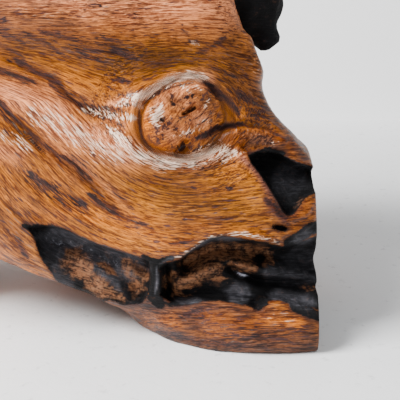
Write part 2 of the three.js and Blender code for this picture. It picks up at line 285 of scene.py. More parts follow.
# Sizes along, across and into the grain, in chart units
FLUTE_SIZES = (95.0, 15.0, 62.0)
RIB_SIZES = (30.0, 1.0, 6.0)
BAND_SIZES = (46.0, 7.0, 34.0)
SHEEN_SIZES = (60.0, 11.0, 44.0)

# Tones of the polished wood, then of its marks, its char and its bare wood, sRGB
TONES = {
    "honey": (0.66, 0.37, 0.08),
    "orange": (0.82, 0.44, 0.08),
    "gold": (0.53, 0.31, 0.05),
    "pink": (0.74, 0.44, 0.28),
    "olive": (0.46, 0.27, 0.03),
    "russet": (0.50, 0.25, 0.07),
    "brown": (0.40, 0.22, 0.07),
    "plum": (0.28, 0.17, 0.14),
    # the white of painted highlights
    "pale": (1.0, 0.87, 0.76),
    "tan": (0.50, 0.36, 0.26),
    # pink of painted highlights and sheen, and of the knot's pale mottle
    "blush": (0.98, 0.62, 0.42),
    "umber": (0.34, 0.18, 0.085),
    "mauve": (0.50, 0.32, 0.29),
    "rust": (0.50, 0.24, 0.02),
    # dark plum, used as painted shade along the lip's bottom edge and as a dark mark elsewhere
    "dark plum": (0.17, 0.11, 0.11),
    "streak": (0.25, 0.15, 0.15),
    "crease": (0.11, 0.065, 0.07),
    "scorch": (0.20, 0.11, 0.09),
    "coal": (0.022, 0.02, 0.024),
    # grey of the ash on the char, also of painted reflections on it
    "ash_and_glint": (0.36, 0.355, 0.38),
    # white of painted glints on the char
    "glint white": (0.8, 0.8, 0.86),
    "bare dark": (0.20, 0.12, 0.08),
    "bare light": (0.54, 0.35, 0.23),
    "bare furrow": (0.10, 0.06, 0.05),
}

# Dark and light grain, as multiples of the wood's tone
DARKER = (0.27, 0.175, 0.13)
LIGHTER = (1.86, 1.92, 1.86)

# Patches of ground tone: size and seed of the swell, greatest share
PATCHES = {
    "pink": (60.0, 6.3, 0.8),
    "olive": (44.0, 2.7, 0.7),
    "russet": (50.0, 9.1, 0.6),
}

# Paint on the chart, in order: tone, line, half width, strength
PAINT = (
    ("honey", ((-40, 60), (100, 90), (220, 110)), 90.0, 0.7),
    # pink and blush along the top: the wood's pinker tone with painted sheen from the light above
    ("pink", ((-60, 2), (60, 6), (140, 4), (240, 8)), 26.0, 0.9),
    ("blush", ((50, 0), (140, -4), (220, 4)), 14.0, 0.45),
    ("plum", ((-20, 20), (10, 34)), 12.0, 0.3),
    ("umber", ((-10, 10), (30, 16), (66, 22)), 14.0, 0.75),
    ("umber", ((-20, 40), (10, 48), (40, 52)), 7.0, 0.4),
    ("gold", ((20, 46), (70, 58)), 14.0, 0.6),
    ("olive", ((112, 60), (160, 58), (236, 66)), 21.0, 0.95),
    ("honey", ((56, 70), (84, 84), (112, 94), (136, 96)), 12.0, 0.9),
    ("honey", ((10, 50), (60, 64), (92, 80)), 11.0, 0.5),
    # the pink band below is partly the wood's own tone and partly painted highlight; the blush lines after
    # it are painted highlights on the band and round the knot
    ("pink", ((-30, 84), (40, 98), (70, 112), (100, 130), (130, 150)), 16.0, 1.0),
    ("blush", ((56, 118), (84, 134), (108, 150), (136, 160)), 13.0, 0.95),
    ("blush", ((10, 96), (44, 108), (70, 122)), 9.0, 0.5),
    ("blush", ((108, 122), (122, 138), (136, 152)), 7.0, 0.8),
    ("blush", ((134, 154), (160, 163), (192, 164), (214, 156), (240, 152)), 6.5, 0.9),
    ("blush", ((112, 106), (140, 98), (168, 82), (192, 75), (212, 77)), 5.0, 0.8),
    ("pink", ((50, 146), (90, 176), (120, 200)), 10.0, 0.7),
    ("honey", ((76, 112), (100, 120), (124, 132)), 7.0, 0.7),
    ("honey", ((-20, 150), (30, 196), (60, 214), (110, 228)), 18.0, 0.9),
    ("pink", ((-20, 146), (20, 156)), 9.0, 0.7),
    ("orange", ((64, 212), (112, 226), (160, 240)), 9.0, 0.35),
    ("gold", ((70, 222), (112, 236), (140, 246)), 9.0, 0.6),
    ("gold", ((140, 184), (200, 194), (262, 198)), 28.0, 1.0),
    ("rust", ((150, 176), (190, 186), (236, 196)), 7.0, 0.4),
    ("umber", ((196, 212), (226, 216), (256, 214)), 5.0, 0.4),
    ("gold", ((100, 176), (150, 210), (200, 226)), 16.0, 0.6),
    ("gold", ((160, 216), (210, 212), (250, 216)), 14.0, 0.7),
    ("honey", ((150, 238), (200, 229), (262, 230)), 4.0, 0.5),
    ("rust", ((120, 214), (170, 226), (220, 226)), 8.0, 0.35),
    ("gold", ((60, 262), (90, 296), (130, 318)), 10.0, 0.5),
    ("olive", ((200, 204), (236, 206)), 8.0, 0.5),
    ("brown", ((236, 44), (256, 90), (282, 128), (314, 166)), 17.0, 0.95),
    ("brown", ((214, 66), (240, 96)), 12.0, 0.8),
    ("umber", ((256, 52), (264, 90), (284, 122)), 11.0, 0.6),
    ("umber", ((200, 128), (222, 142), (250, 134), (290, 144)), 11.0, 1.0),
    ("rust", ((244, 136), (270, 136), (288, 144)), 8.0, 0.5),
    ("russet", ((234, 129), (262, 131), (286, 138)), 4.0, 0.9),
    ("rust", ((220, 138), (236, 143), (250, 149)), 7.0, 0.95),
    ("plum", ((254, 142), (268, 143), (282, 150)), 6.5, 0.95),
    ("rust", ((279, 138), (288, 142), (291, 149)), 4.5, 0.95),
    ("plum", ((292, 148), (306, 158)), 5.0, 0.85),
    ("russet", ((293, 161), (316, 166)), 3.0, 0.9),
    ("umber", ((300, 213), (318, 206)), 6.0, 0.8),
    ("gold", ((228, 122), (262, 126)), 3.4, 0.7),
    ("plum", ((262, 196), (276, 212), (294, 224), (306, 220)), 6.0, 0.6),
    ("umber", ((150, 320), (222, 324), (304, 328)), 22.0, 1.0),
    ("plum", ((188, 318), (206, 334)), 8.0, 0.5),
    ("rust", ((154, 316), (172, 326), (184, 336)), 9.0, 0.9),
    ("orange", ((160, 312), (178, 325)), 6.0, 0.5),
    ("rust", ((210, 325), (252, 328)), 11.0, 0.95),
    ("orange", ((262, 314), (300, 324)), 9.0, 0.9),
    ("orange", ((214, 333), (250, 336)), 5.0, 0.6),
    ("honey", ((264, 310), (282, 308)), 4.0, 0.7),
    ("plum", ((190, 310), (202, 330)), 6.0, 0.6),
    # darker towards the bottom of the lip: its own umber and plum, with painted shade where it meets the
    # floor
    ("umber", ((158, 332), (230, 342), (304, 342)), 9.0, 0.75),
    ("plum", ((134, 332), (200, 349), (322, 355)), 10.0, 1.0),
    # painted shade along the bottom edge
    ("dark plum", ((140, 337), (200, 352), (322, 357)), 8.0, 1.0),
    ("umber", ((156, 322), (222, 328), (262, 332)), 13.0, 0.35),
    ("dark plum", ((200, 350), (312, 354)), 5.0, 0.8),
    ("plum", ((136, 306), (160, 312), (190, 308)), 5.0, 0.6),
    ("umber", ((96, 298), (130, 320), (150, 334)), 8.0, 0.5),
    ("plum", ((152, 304), (200, 307), (258, 314), (306, 316)), 4.5, 0.75),
    ("dark plum", ((314, 300), (317, 352)), 8.0, 0.85),
    ("plum", ((186, 316), (204, 311), (222, 309)), 5.0, 0.7),
    ("plum", ((232, 344), (262, 338), (300, 342)), 6.0, 0.5),
    ("plum", ((114, 296), (142, 309), (166, 309)), 9.0, 0.9),
    ("dark plum", ((124, 298), (142, 304), (162, 304)), 6.0, 0.95),
    ("mauve", ((242, 158), (258, 176), (270, 196), (286, 216)), 4.5, 0.9),
    ("plum", ((270, 206), (286, 222)), 6.0, 0.9),
    ("umber", ((168, 222), (210, 224), (250, 224)), 8.0, 0.35),
    ("russet", ((272, 206), (290, 220), (306, 212), (318, 200)), 6.0, 0.7),
    ("plum", ((26, 222), (40, 224)), 4.0, 0.8),
    ("gold", ((24, 232), (36, 256), (56, 286)), 7.0, 0.6),
    ("umber", ((2, 222), (24, 262)), 13.0, 0.7),
    ("orange", ((147, 106), (146, 130), (155, 147), (174, 154)), 5.0, 1.0),
    ("orange", ((150, 104), (164, 92), (186, 84)), 3.4, 0.8),
    ("blush", ((160, 104), (164, 126), (178, 138)), 8.0, 0.75),
    # painted sheen at the top of the knot
    ("blush", ((172, 92), (206, 85)), 7.0, 0.6),
    ("pink", ((192, 124), (212, 108)), 8.0, 0.7),
    ("brown", ((208, 98), (215, 118), (206, 136)), 8.0, 0.7),
    ("orange", ((160, 142), (174, 150)), 6.0, 0.7),
    ("orange", ((150, 102), (148, 126), (156, 145), (176, 154)), 5.5, 0.95),
    ("honey", ((186, 138), (206, 128), (220, 116)), 7.0, 0.7),
    # painted highlight over the middle of the knot
    ("blush", ((172, 98), (196, 110), (204, 122)), 11.0, 0.4),
    ("orange", ((168, 116), (180, 130), (196, 134)), 9.0, 0.45),
    ("plum", ((158, 116), (168, 124)), 5.5, 0.45),
    ("plum", ((172, 99), (181, 105)), 4.5, 0.5),
    ("mauve", ((176, 128), (188, 134)), 5.0, 0.35),
    ("brown", ((202, 94), (214, 114)), 5.5, 0.35),
)

# Painted highlights on the chart: pale lines where the light catches the ridges, the knot's ring and the
# rims of the hollows: line, half width, strength
PAINTED_HIGHLIGHTS = (
    (((112, 106), (130, 99), (145, 94), (171, 79), (191, 74), (214, 78)), 5.0, 0.76),
    (((78, 108), (100, 113), (128, 119)), 4.5, 0.5),
    (((20, 108), (56, 122), (80, 136), (104, 150), (132, 158)), 15.0, 0.46),
    (((66, 124), (84, 136), (104, 150)), 8.0, 0.64),
    (((104, 122), (118, 136), (134, 152), (156, 161), (190, 161), (214, 152), (246, 152)), 8.5, 0.76),
    (((128, 100), (142, 106), (146, 110)), 4.0, 0.5),
    (((90, 108), (116, 116), (140, 118)), 5.0, 0.6),
    (((150, 104), (154, 128)), 4.0, 0.5),
    (((164, 100), (156, 116), (160, 130)), 7.0, 0.8),
    (((172, 136), (184, 133), (194, 128)), 4.0, 0.55),
    (((196, 112), (206, 104), (212, 96)), 3.0, 0.45),
    (((178, 86), (206, 88)), 6.0, 0.4),
    (((186, 136), (202, 124), (216, 112)), 4.0, 0.35),
    (((160, 262), (186, 254), (200, 245), (212, 238), (228, 234)), 2.0, 0.7),
    (((222, 234), (246, 234), (270, 239), (288, 245)), 2.4, 0.45),
    (((-20, 138), (10, 134), (34, 152)), 9.0, 0.38),
    (((-20, 6), (60, 8), (130, 4), (200, 8)), 16.0, 0.1),
    (((186, 40), (204, 43)), 2.0, 0.5),
    (((262, 316), (300, 322)), 8.0, 0.16),
    (((262, 144), (284, 142)), 3.0, 0.3),
    (((192, 165), (212, 157), (238, 154)), 7.5, 0.6),
)

# Dark purple streaks on the chart
STREAKS = (
    (((-60, 50), (0, 66), (60, 88), (110, 112)), 11.0, 0.36),
    (((-60, 56), (0, 108), (50, 152), (110, 196)), 9.0, 0.42),
    (((10, 164), (50, 196), (110, 218), (170, 240)), 9.0, 0.38),
    (((-10, 30), (50, 44), (110, 56), (180, 66)), 13.0, 0.38),
    (((90, 34), (130, 52), (190, 58)), 10.0, 0.42),
    (((190, 62), (226, 50), (250, 80)), 12.0, 0.36),
    (((180, 312), (230, 330), (310, 332)), 12.0, 0.34),
    (((100, 96), (130, 92), (150, 84)), 6.0, 0.42),
    (((230, 84), (250, 104), (262, 130)), 9.0, 0.5),
    (((10, 52), (22, 61), (36, 70), (48, 76), (66, 86)), 4.6, 1.1),
    (((-40, 58), (0, 70), (14, 74), (42, 85)), 4.6, 1.1),
    (((46, 80), (62, 92), (79, 103), (101, 108), (130, 112)), 3.6, 1.0),
    (((56, 84), (72, 93), (92, 100)), 2.6, 0.9),
    (((76, 103), (92, 113), (106, 118), (126, 126)), 3.0, 0.9),
    (((-60, 44), (0, 103), (18, 120), (42, 143), (66, 162)), 4.0, 1.1),
    (((-20, 92), (14, 126), (38, 148), (48, 158)), 2.4, 1.0),
    (((58, 152), (82, 171), (94, 182)), 4.0, 1.1),
    (((0, 120), (20, 142), (30, 154)), 2.6, 0.7),
    (((26, 168), (36, 178), (48, 184), (60, 194)), 4.6, 1.1),
    (((50, 192), (60, 201), (74, 214)), 3.4, 0.9),
    (((62, 194), (78, 202), (92, 212)), 2.6, 1.0),
    (((84, 192), (100, 203), (110, 209), (122, 218)), 4.6, 1.2),
    (((110, 212), (124, 218), (140, 224), (160, 236)), 2.8, 1.1),
    (((86, 184), (100, 196), (108, 202)), 2.4, 0.8),
    (((108, 184), (120, 198), (138, 212)), 3.0, 0.9),
    (((66, 150), (90, 168), (110, 188)), 2.0, 0.6),
    (((34, 27), (47, 32), (63, 35), (80, 40)), 3.2, 1.0),
    (((30, 36), (46, 42), (57, 52), (66, 57)), 2.8, 0.9),
    (((4, 33), (16, 38), (28, 44)), 2.8, 0.9),
    (((18, 29), (36, 36)), 2.2, 0.8),
    (((-20, 36), (0, 44), (15, 49), (26, 58)), 2.6, 0.8),
    (((5, 57), (12, 60)), 3.4, 1.3),
    (((72, 48), (85, 54), (108, 62)), 2.8, 1.1),
    (((74, 35), (90, 37)), 1.8, 0.8),
    (((98, 35), (110, 40), (126, 44)), 3.2, 1.0),
    (((106, 47), (122, 53), (142, 60)), 4.6, 1.0),
    (((140, 60), (160, 63), (178, 62)), 3.0, 0.7),
    (((108, 79), (120, 79), (136, 81)), 3.0, 1.2),
    (((138, 78), (158, 76)), 2.2, 0.8),
    (((102, 84), (112, 88), (122, 92)), 2.4, 0.9),
    (((84, 12), (86, 4), (98, 2), (104, 8)), 3.6, 0.9),
    (((122, 14), (146, 13)), 4.0, 0.5),
    (((-4, 6), (2, 30), (14, 44)), 7.0, 0.7),
    (((182, 20), (184, 30), (192, 36)), 2.4, 0.7),
    (((184, 38), (204, 43)), 2.0, 1.0),
    (((194, 54), (206, 50), (216, 44), (230, 34)), 4.0, 0.9),
    (((196, 60), (214, 57)), 3.0, 0.6),
    (((204, 64), (224, 70), (246, 79)), 2.4, 0.8),
    (((200, 78), (217, 89), (228, 98), (239, 108), (242, 118)), 3.4, 1.3),
    (((234, 88), (246, 97), (262, 106)), 6.5, 0.9),
    (((192, 139), (206, 134), (216, 128), (228, 124), (248, 124)), 3.8, 1.5),
    (((242, 124), (268, 128), (290, 140)), 2.2, 0.8),
    (((112, 110), (140, 101), (162, 89), (188, 78), (206, 77)), 1.8, 1.0),
    (((140, 108), (150, 98), (170, 88), (196, 82)), 2.2, 1.0),
    (((140, 106), (139, 120), (143, 136), (155, 153), (172, 159)), 2.4, 1.0),
    (((96, 120), (112, 132), (128, 148)), 2.0, 0.8),
    (((186, 158), (206, 153), (224, 146)), 2.0, 0.9),
    (((206, 92), (216, 104), (218, 118)), 2.4, 0.7),
    (((166, 110), (182, 99), (200, 91)), 1.3, 1.0),
    (((186, 124), (200, 115), (212, 102)), 1.3, 0.9),
    (((192, 128), (206, 119), (218, 106)), 1.2, 1.0),
    (((176, 120), (186, 116), (196, 112)), 1.6, 0.8),
    (((186, 146), (200, 138), (214, 126)), 1.6, 1.1),
    (((192, 152), (206, 144), (220, 132)), 1.4, 1.0),
    (((150, 118), (154, 132), (164, 144)), 1.4, 0.8),
    (((200, 84), (214, 92), (226, 104)), 1.4, 1.1),
    (((196, 82), (212, 86), (228, 98)), 1.2, 1.0),
    (((212, 84), (228, 97), (240, 112)), 1.5, 1.3),
    (((140, 96), (160, 84), (182, 76)), 1.2, 0.9),
    (((116, 128), (130, 142), (146, 154)), 1.4, 0.9),
    (((160, 168), (190, 166), (220, 158)), 1.4, 0.9),
    (((130, 108), (144, 99), (160, 90)), 1.3, 1.0),
    (((128, 146), (146, 158), (170, 164)), 1.4, 0.9),
    (((244, 110), (258, 110), (272, 114)), 1.3, 1.4),
    (((246, 115), (260, 115), (274, 120)), 1.3, 1.4),
    (((250, 119), (262, 120), (272, 124)), 1.1, 1.2),
    (((252, 105), (262, 105), (272, 108)), 1.2, 1.1),
    (((246, 148), (254, 156), (262, 172)), 4.0, 1.0),
    (((166, 244), (180, 243), (196, 241)), 2.0, 1.2),
    (((200, 218), (214, 219), (234, 220)), 2.0, 0.9),
    (((190, 186), (200, 190)), 2.0, 1.2),
    (((224, 186), (234, 191)), 2.2, 1.0),
    (((182, 216), (188, 220)), 1.8, 0.9),
    (((12, 234), (20, 246), (30, 262)), 4.4, 1.0),
    (((170, 170), (206, 168), (240, 160)), 2.2, 0.7),
    (((150, 174), (176, 180)), 1.8, 0.6),
    (((180, 318), (194, 313), (212, 309)), 3.6, 1.1),
    (((198, 320), (206, 316)), 4.0, 0.8),
    (((150, 330), (196, 342), (250, 346)), 4.0, 0.8),
    (((214, 334), (250, 338), (290, 338)), 2.4, 0.6),
    (((262, 196), (274, 208), (290, 222)), 5.0, 1.1),
)

# Near-black specks and slits on the chart
SPECKS = (
    (((180, 116), (187, 112), (199, 103)), 2.3, 1.0),
    (((188, 113), (198, 107), (208, 98)), 1.8, 0.7),
    (((177, 153), (183, 149), (185, 138)), 3.6, 1.0),
    (((176, 144), (181, 150), (188, 148)), 3.0, 0.75),
    (((157, 122), (164, 119), (168, 114)), 4.2, 0.72),
    (((170, 128), (176, 126), (182, 118)), 4.0, 0.66),
    (((170, 99), (174, 104), (178, 107)), 3.4, 0.8),
    (((180, 103), (190, 97), (202, 92)), 2.6, 0.6),
    (((150, 112), (155, 108), (158, 104)), 2.6, 0.66),
    (((166, 134), (176, 138), (182, 134)), 3.0, 0.5),
    (((188, 132), (200, 124), (212, 114)), 2.4, 0.56),
    (((206, 81), (216, 88)), 2.0, 1.0),
    (((250, 154), (256, 162)), 3.4, 1.0),
)

# Charred lines outside the hollows on the chart: line, half width
CHARRED = (
    (((152, 265), (156, 280), (154, 297), (160, 304)), 6.2),
    (((290, 244), (302, 236), (314, 228), (340, 220)), 6.5),
    (((150, 299), (171, 305), (200, 302)), 2.4),
    (((144, 257), (158, 262), (172, 258)), 3.4),
    (((155, 262), (164, 269)), 4.2),
    (((254, 306), (260, 309), (267, 303)), 2.6),
    (((296, 308), (312, 314), (330, 320)), 5.0),
    (((256, 154), (270, 149), (284, 153)), 3.0),
    (((24, 226), (34, 228)), 3.0),
)

# Bare brown wood inside the hollows on the chart: line, half width, strength
BARE = (
    (((66, 248), (76, 262), (90, 278)), 13.0, 1.25),
    (((82, 276), (98, 286), (126, 306)), 8.0, 1.5),
    (((94, 262), (104, 266), (118, 276)), 4.5, 1.0),
    (((120, 258), (136, 272), (152, 280)), 9.0, 0.85),
    (((126, 284), (148, 290)), 8.0, 0.95),
    (((94, 252), (114, 260)), 6.0, 0.62),
    (((172, 296), (186, 284), (206, 268)), 9.0, 1.0),
    (((168, 284), (178, 270)), 6.0, 0.7),
    (((164, 272), (166, 292)), 3.6, 0.9),
    (((178, 288), (194, 284)), 5.0, 1.4),
    (((180, 266), (200, 256), (222, 251), (262, 255), (276, 262)), 10.0, 0.95),
    (((226, 262), (262, 270)), 7.0, 0.8),
    (((194, 268), (228, 268)), 9.0, 0.9),
    (((208, 280), (232, 278)), 2.4, 0.9),
    (((270, 260), (276, 266)), 3.0, 0.8),
    (((296, 208), (306, 204), (320, 208)), 6.0, 1.2),
    (((300, 290), (318, 287)), 1.8, 0.8),
)

# Painted shadow: black lines in the hole and the crevices of the hollows, cut out of the bare wood: line,
# half width, strength
PAINTED_SHADOWS = (
    (((253, 259), (268, 258)), 5.0, 1.0),
    (((180, 291), (194, 292)), 2.4, 1.0),
    (((234, 275), (250, 282), (270, 288)), 3.4, 1.0),
    (((110, 262), (96, 250), (82, 248)), 2.0, 0.8),
)

# Paler ash on the charred wood of the chart, and among it painted light: a painted glint in the crevice,
# painted highlights along the septum and the mouth's rim, and a painted grey reflection on the black face:
# line, half width, strength
ASH_AND_GLINTS = (
    (((38, 236), (70, 246), (110, 262), (148, 270)), 14.0, 1.1),
    (((50, 262), (74, 292)), 8.0, 0.4),
    (((96, 268), (122, 292)), 7.0, 0.8),
    # painted highlight along the septum's edge
    (((157, 266), (158, 280), (155, 296)), 1.6, 1.1),
    (((226, 292), (254, 297)), 9.5, 1.0),
    (((284, 258), (322, 266)), 11.0, 0.5),
    (((262, 272), (320, 280)), 10.0, 0.4),
    (((268, 294), (320, 304)), 6.0, 0.9),
    (((292, 242), (318, 232)), 7.0, 0.7),
    # painted grey reflection on the black face
    (((272, 172), (308, 184)), 18.0, 0.36),
    # painted white glint in the crevice
    (((235, 271), (242, 275), (250, 276)), 1.7, 2.3),
    # painted highlight along the mouth's upper rim
    (((160, 264), (190, 250), (215, 238), (245, 240)), 2.4, 0.8),
    (((172, 300), (206, 302)), 3.0, 0.8),
)

# Depth inside a charred edge where nothing is charred, and all over the spur
UNCHARRED = -40.0
SPUR_CHAR = 30.0

# Rounds where there is no knot, and the most that are kept
NO_KNOT = 9.0
MOST_ROUNDS = 4.0

# The place in the grain is kept on the mesh in chart units times this
GRAIN_SCALE = 0.01

# Noise along the grain: stretch, detail, roughness, distortion
GRAIN_NOISE = {
    "fibre": ((5.0, 50.0, 11.0), 3.0, 0.7, 0.3),
    "vein": ((1.8, 20.0, 6.0), 4.0, 0.62, 0.6),
    "fleck": ((14.0, 64.0, 28.0), 2.0, 0.6, 0.0),
    "strand": ((2.2, 27.0, 7.0), 2.0, 0.5, 0.5),
    "pores": ((8.0, 46.0, 16.0), 1.0, 0.5, 0.0),
}

# Noise in space: scale, detail, roughness, distortion
PLACE_NOISE = {
    "mottle": (85.0, 5.0, 0.72, 0.6),
    "crumb": (260.0, 3.0, 0.6, 0.4),
    "cloud": (15.0, 3.0, 0.55, 0.0),
    "grit": (520.0, 3.0, 0.6, 0.0),
}

# The studio, in metres: half the floor, height of the wall; each light's place, target and side
FLOOR_HALF = 6.0
WALL_HIGH = 0.19
KEY = ((-1.10, -0.62, 1.38), (0.0, -0.05, 0.10), 0.75)
FILL = ((0.4, -1.7, 1.0), (0.0, 0.0, 0.10), 1.0)
SKY = (0.96, 0.98, 1.0, 1.0)
SKY_STRENGTH = 0.53
SENSOR = 36.0


def unit(v):
    """v / |v| along the last axis"""
    return v / np.linalg.norm(v, axis=-1, keepdims=True)


def rise(a, b, x):
    """smooth rise from 0 at a to 1 at b: 3 t^2 - 2 t^3"""
    t = np.clip((x - a) / (b - a), 0.0, 1.0)
    return t * t * (3.0 - 2.0 * t)


def bell(x):
    """exp(-x^2)"""
    return np.exp(-x * x)


def soft_min(a, b, k):
    """the smaller of a and b, rounded over k where they meet: min - h^2 k / 4"""
    h = np.maximum(k - np.abs(a - b), 0.0) / k
    return np.minimum(a, b) - h * h * k / 4.0


def soft_union(distances, k):
    """-k ln(sum exp(-d / k)): many distances run together"""
    least = np.min(distances, axis=0)
    return least - k * np.log(np.sum(np.exp(-(distances - least) / k), axis=0))


def lump_distance(p, centre, radii):
    """k0 (k0 - 1) / k1 with k0 = |q / r| and k1 = |q / r^2|, q being p - centre"""
    q = (p - np.asarray(centre, float)) / np.asarray(radii, float)
    k0 = np.linalg.norm(q, axis=-1)
    k1 = np.linalg.norm(q / np.asarray(radii, float), axis=-1)
    return k0 * (k0 - 1.0) / np.maximum(k1, LEAST)


def roll_distance(p, start, r0, end, r1):
    """distance to the nearest point of the axis, less a radius that goes evenly from r0 to r1"""
    a = np.asarray(start, float)
    axis = np.asarray(end, float) - a
    t = np.clip(((p - a) @ axis) / max(axis @ axis, LEAST), 0.0, 1.0)
    return np.linalg.norm(p - (a + t[..., None] * axis), axis=-1) - (r0 + t * (r1 - r0))


def body_distance(p):
    """soft union of the great lumps and rolls"""
    lumps = [lump_distance(p, *lump) for lump in LUMPS.values()]
    rolls = [roll_distance(p, *roll) for roll in ROLLS.values()]
    return soft_union(np.stack(lumps + rolls), BLEND)


def scooped_distance(p):
    """the body with its scoops taken out: a soft maximum with each scoop's negative distance"""
    value = body_distance(p)
    for centre, half in SCOOPS:
        value = -soft_min(-value, lump_distance(p, centre, half), SCOOP_ROUND)
    return value


def spur_distance(p):
    """soft union of the spur's rolls"""
    return soft_union(np.stack([roll_distance(p, *roll) for roll in SPUR]), SPUR_BLEND)


def reach(direction, distance, heart, far, near, steps):
    """length of each ray to the outermost surface: even steps inwards, then halving"""
    inner = np.full(len(direction), near)
    outer = np.full(len(direction), far)
    found = np.zeros(len(direction), bool)
    before = far
    for t in np.linspace(far, near, steps):
        open_rays = np.where(~found)[0]
        hit = open_rays[distance(heart + direction[open_rays] * t) < 0.0]
        inner[hit] = t
        outer[hit] = before
        found[hit] = True
        before = t
        if found.all():
            break
    for _ in range(HALVINGS):
        middle = (inner + outer) / 2.0
        inside = distance(heart + direction * middle[:, None]) < 0.0
        inner = np.where(inside, middle, inner)
        outer = np.where(inside, outer, middle)
    return (inner + outer) / 2.0


def chart(p):
    """place on the chart: middle + scale * across / depth, middle - scale * up / depth"""
    q = p - EYE
    depth = q @ SIGHT
    return CHART_MIDDLE + CHART_SCALE * q[:, 0] / depth, CHART_MIDDLE - CHART_SCALE * (q @ RISE) / depth


def line_distance(u, v, line):
    """least distance to the line's stretches, the share of its length there, and its length"""
    best = np.full(u.shape, FAR_OFF)
    place = np.zeros(u.shape)
    run = 0.0
    for (ax, ay), (bx, by) in zip(line[:-1], line[1:]):
        ex, ey = bx - ax, by - ay
        size = math.hypot(ex, ey)
        t = np.clip(((u - ax) * ex + (v - ay) * ey) / (size * size), 0.0, 1.0)
        d = np.hypot(u - ax - t * ex, v - ay - t * ey)
        place = np.where(d < best, run + t * size, place)
        best = np.minimum(best, d)
        run += size
    return best, place / run, run


def outline_distance(u, v, outline):
    """distance to a closed outline, negative where an even-odd ray says inside"""
    loop = outline + (outline[0],)
    inside = np.zeros(u.shape, bool)
    for (ax, ay), (bx, by) in zip(loop[:-1], loop[1:]):
        if ay != by:
            inside ^= ((ay > v) != (by > v)) & (u < ax + (v - ay) * (bx - ax) / (by - ay))
    distance = line_distance(u, v, loop)[0]
    return np.where(inside, -distance, distance)


def strokes(u, v, table):
    """greatest strength * exp(-(distance / half width)^2) over a table of lines, thin at the ends"""
    total = np.zeros(u.shape)
    for line, wide, strength in table:
        near, place, size = line_distance(u, v, line)
        end = min(0.5, max(0.15, 11.0 / size))
        taper = 0.25 + 0.75 * rise(0.0, end, place) * rise(0.0, end, 1.0 - place)
        total = np.maximum(total, strength * bell(near / (wide * taper)) * rise(0.0, 0.6, taper))
    return total


def hollow_depth(u, v):
    """sum over the hollows of (depth + runs) * rise(0, wall, distance inside the outline)"""
    total = np.zeros(u.shape)
    for outline, wall, depth, runs in HOLLOWS:
        edge = outline_distance(u, v, outline)
        deep = np.full(u.shape, depth)
        for line, more, wide in runs:
            deep += more * bell(line_distance(u, v, line)[0] / wide)
        total += np.maximum(deep, 0.5) * rise(0.0, wall, -edge)
    return total


def knot_profile(rho, deep=0.36, wide=0.065):
    """dome 1 - rho^2 inside 1, less a furrow at 1.03, plus a swelling at 1.26"""
    dome = np.where(rho < 1.0, 1.0 - rho ** 2, 0.0)
    return dome - deep * bell((rho - 1.03) / wide) + 0.34 * bell((rho - 1.26) / 0.16)


def knot_round(a, b):
    """|(a, b)| with three and five soft corners, and the angle of (a, b)"""
    angle = np.arctan2(b, a)
    uneven = 1.0 + 0.05 * np.sin(3.0 * angle + 1.0) + 0.035 * np.sin(5.0 * angle + 2.4)
    return np.hypot(a, b) * uneven, angle


def spot(a, b, middle, half):
    """exp(-r^2), r being the distance from the middle in half sizes"""
    return bell(np.hypot((a - middle[0]) / half[0], (b - middle[1]) / half[1]))


def front_knot(u, v):
    """rounds of the front knot on the chart: 1 at its rim, in its turned half sizes"""
    c, s = math.cos(KNOT_TURN), math.sin(KNOT_TURN)
    du, dv = u - KNOT[0], v - KNOT[1]
    return knot_round((du * c + dv * s) / KNOT_HALF[0], (-du * s + dv * c) / KNOT_HALF[1])[0]


def far_knot(p, centre, turn, half):
    """rounds of a knot in its own plane, how close p is to that plane, and p's place in it"""
    centre = np.asarray(centre, float)
    out = unit(centre - HEART)
    side = unit(np.cross((0.0, 0.0, 1.0), out)) if abs(out[2]) < 0.9 else np.array([1.0, 0.0, 0.0])
    up = np.cross(out, side)
    q = p - centre
    a, b = q @ side, q @ up
    c, s = math.cos(turn), math.sin(turn)
    rho, angle = knot_round((a * c + b * s) / half[0], (-a * s + b * c) / half[1])
    rho = rho * (1.0 + 0.08 * np.sin(2.0 * angle + turn * 5.0) + 0.05 * np.sin(7.0 * angle + turn * 3.0))
    return rho, rise(70.0, 40.0, np.abs(q @ out)), a, b


def swell(p, size, seed):
    """mean of three sines, each bent by another sine of the next axis"""
    x, y, z = (p / size).T
    a = np.sin(x * 1.7 + 2.3 * np.sin(y * 1.1 + seed) + seed)
    b = np.sin(z * 1.9 + 1.9 * np.sin(x * 1.3 - seed * 2.0) + 2.0 * seed)
    c = np.sin(y * 1.8 + 2.1 * np.sin(z * 1.2 + seed * 3.0) + 3.0 * seed)
    return (a + b + c) / 3.0


def fold_height(u, v):
    """sum of height * exp(-(distance / half width)^2), fading at the ends of long folds"""
    total = np.zeros(u.shape)
    for line, high, wide in FOLDS:
        near, place, size = line_distance(u, v, line)
        fade = rise(0.0, 0.22, place) * rise(0.0, 0.22, 1.0 - place) if wide < 0.12 * size else 1.0
        total += high * bell(near / wide) * fade
    return total


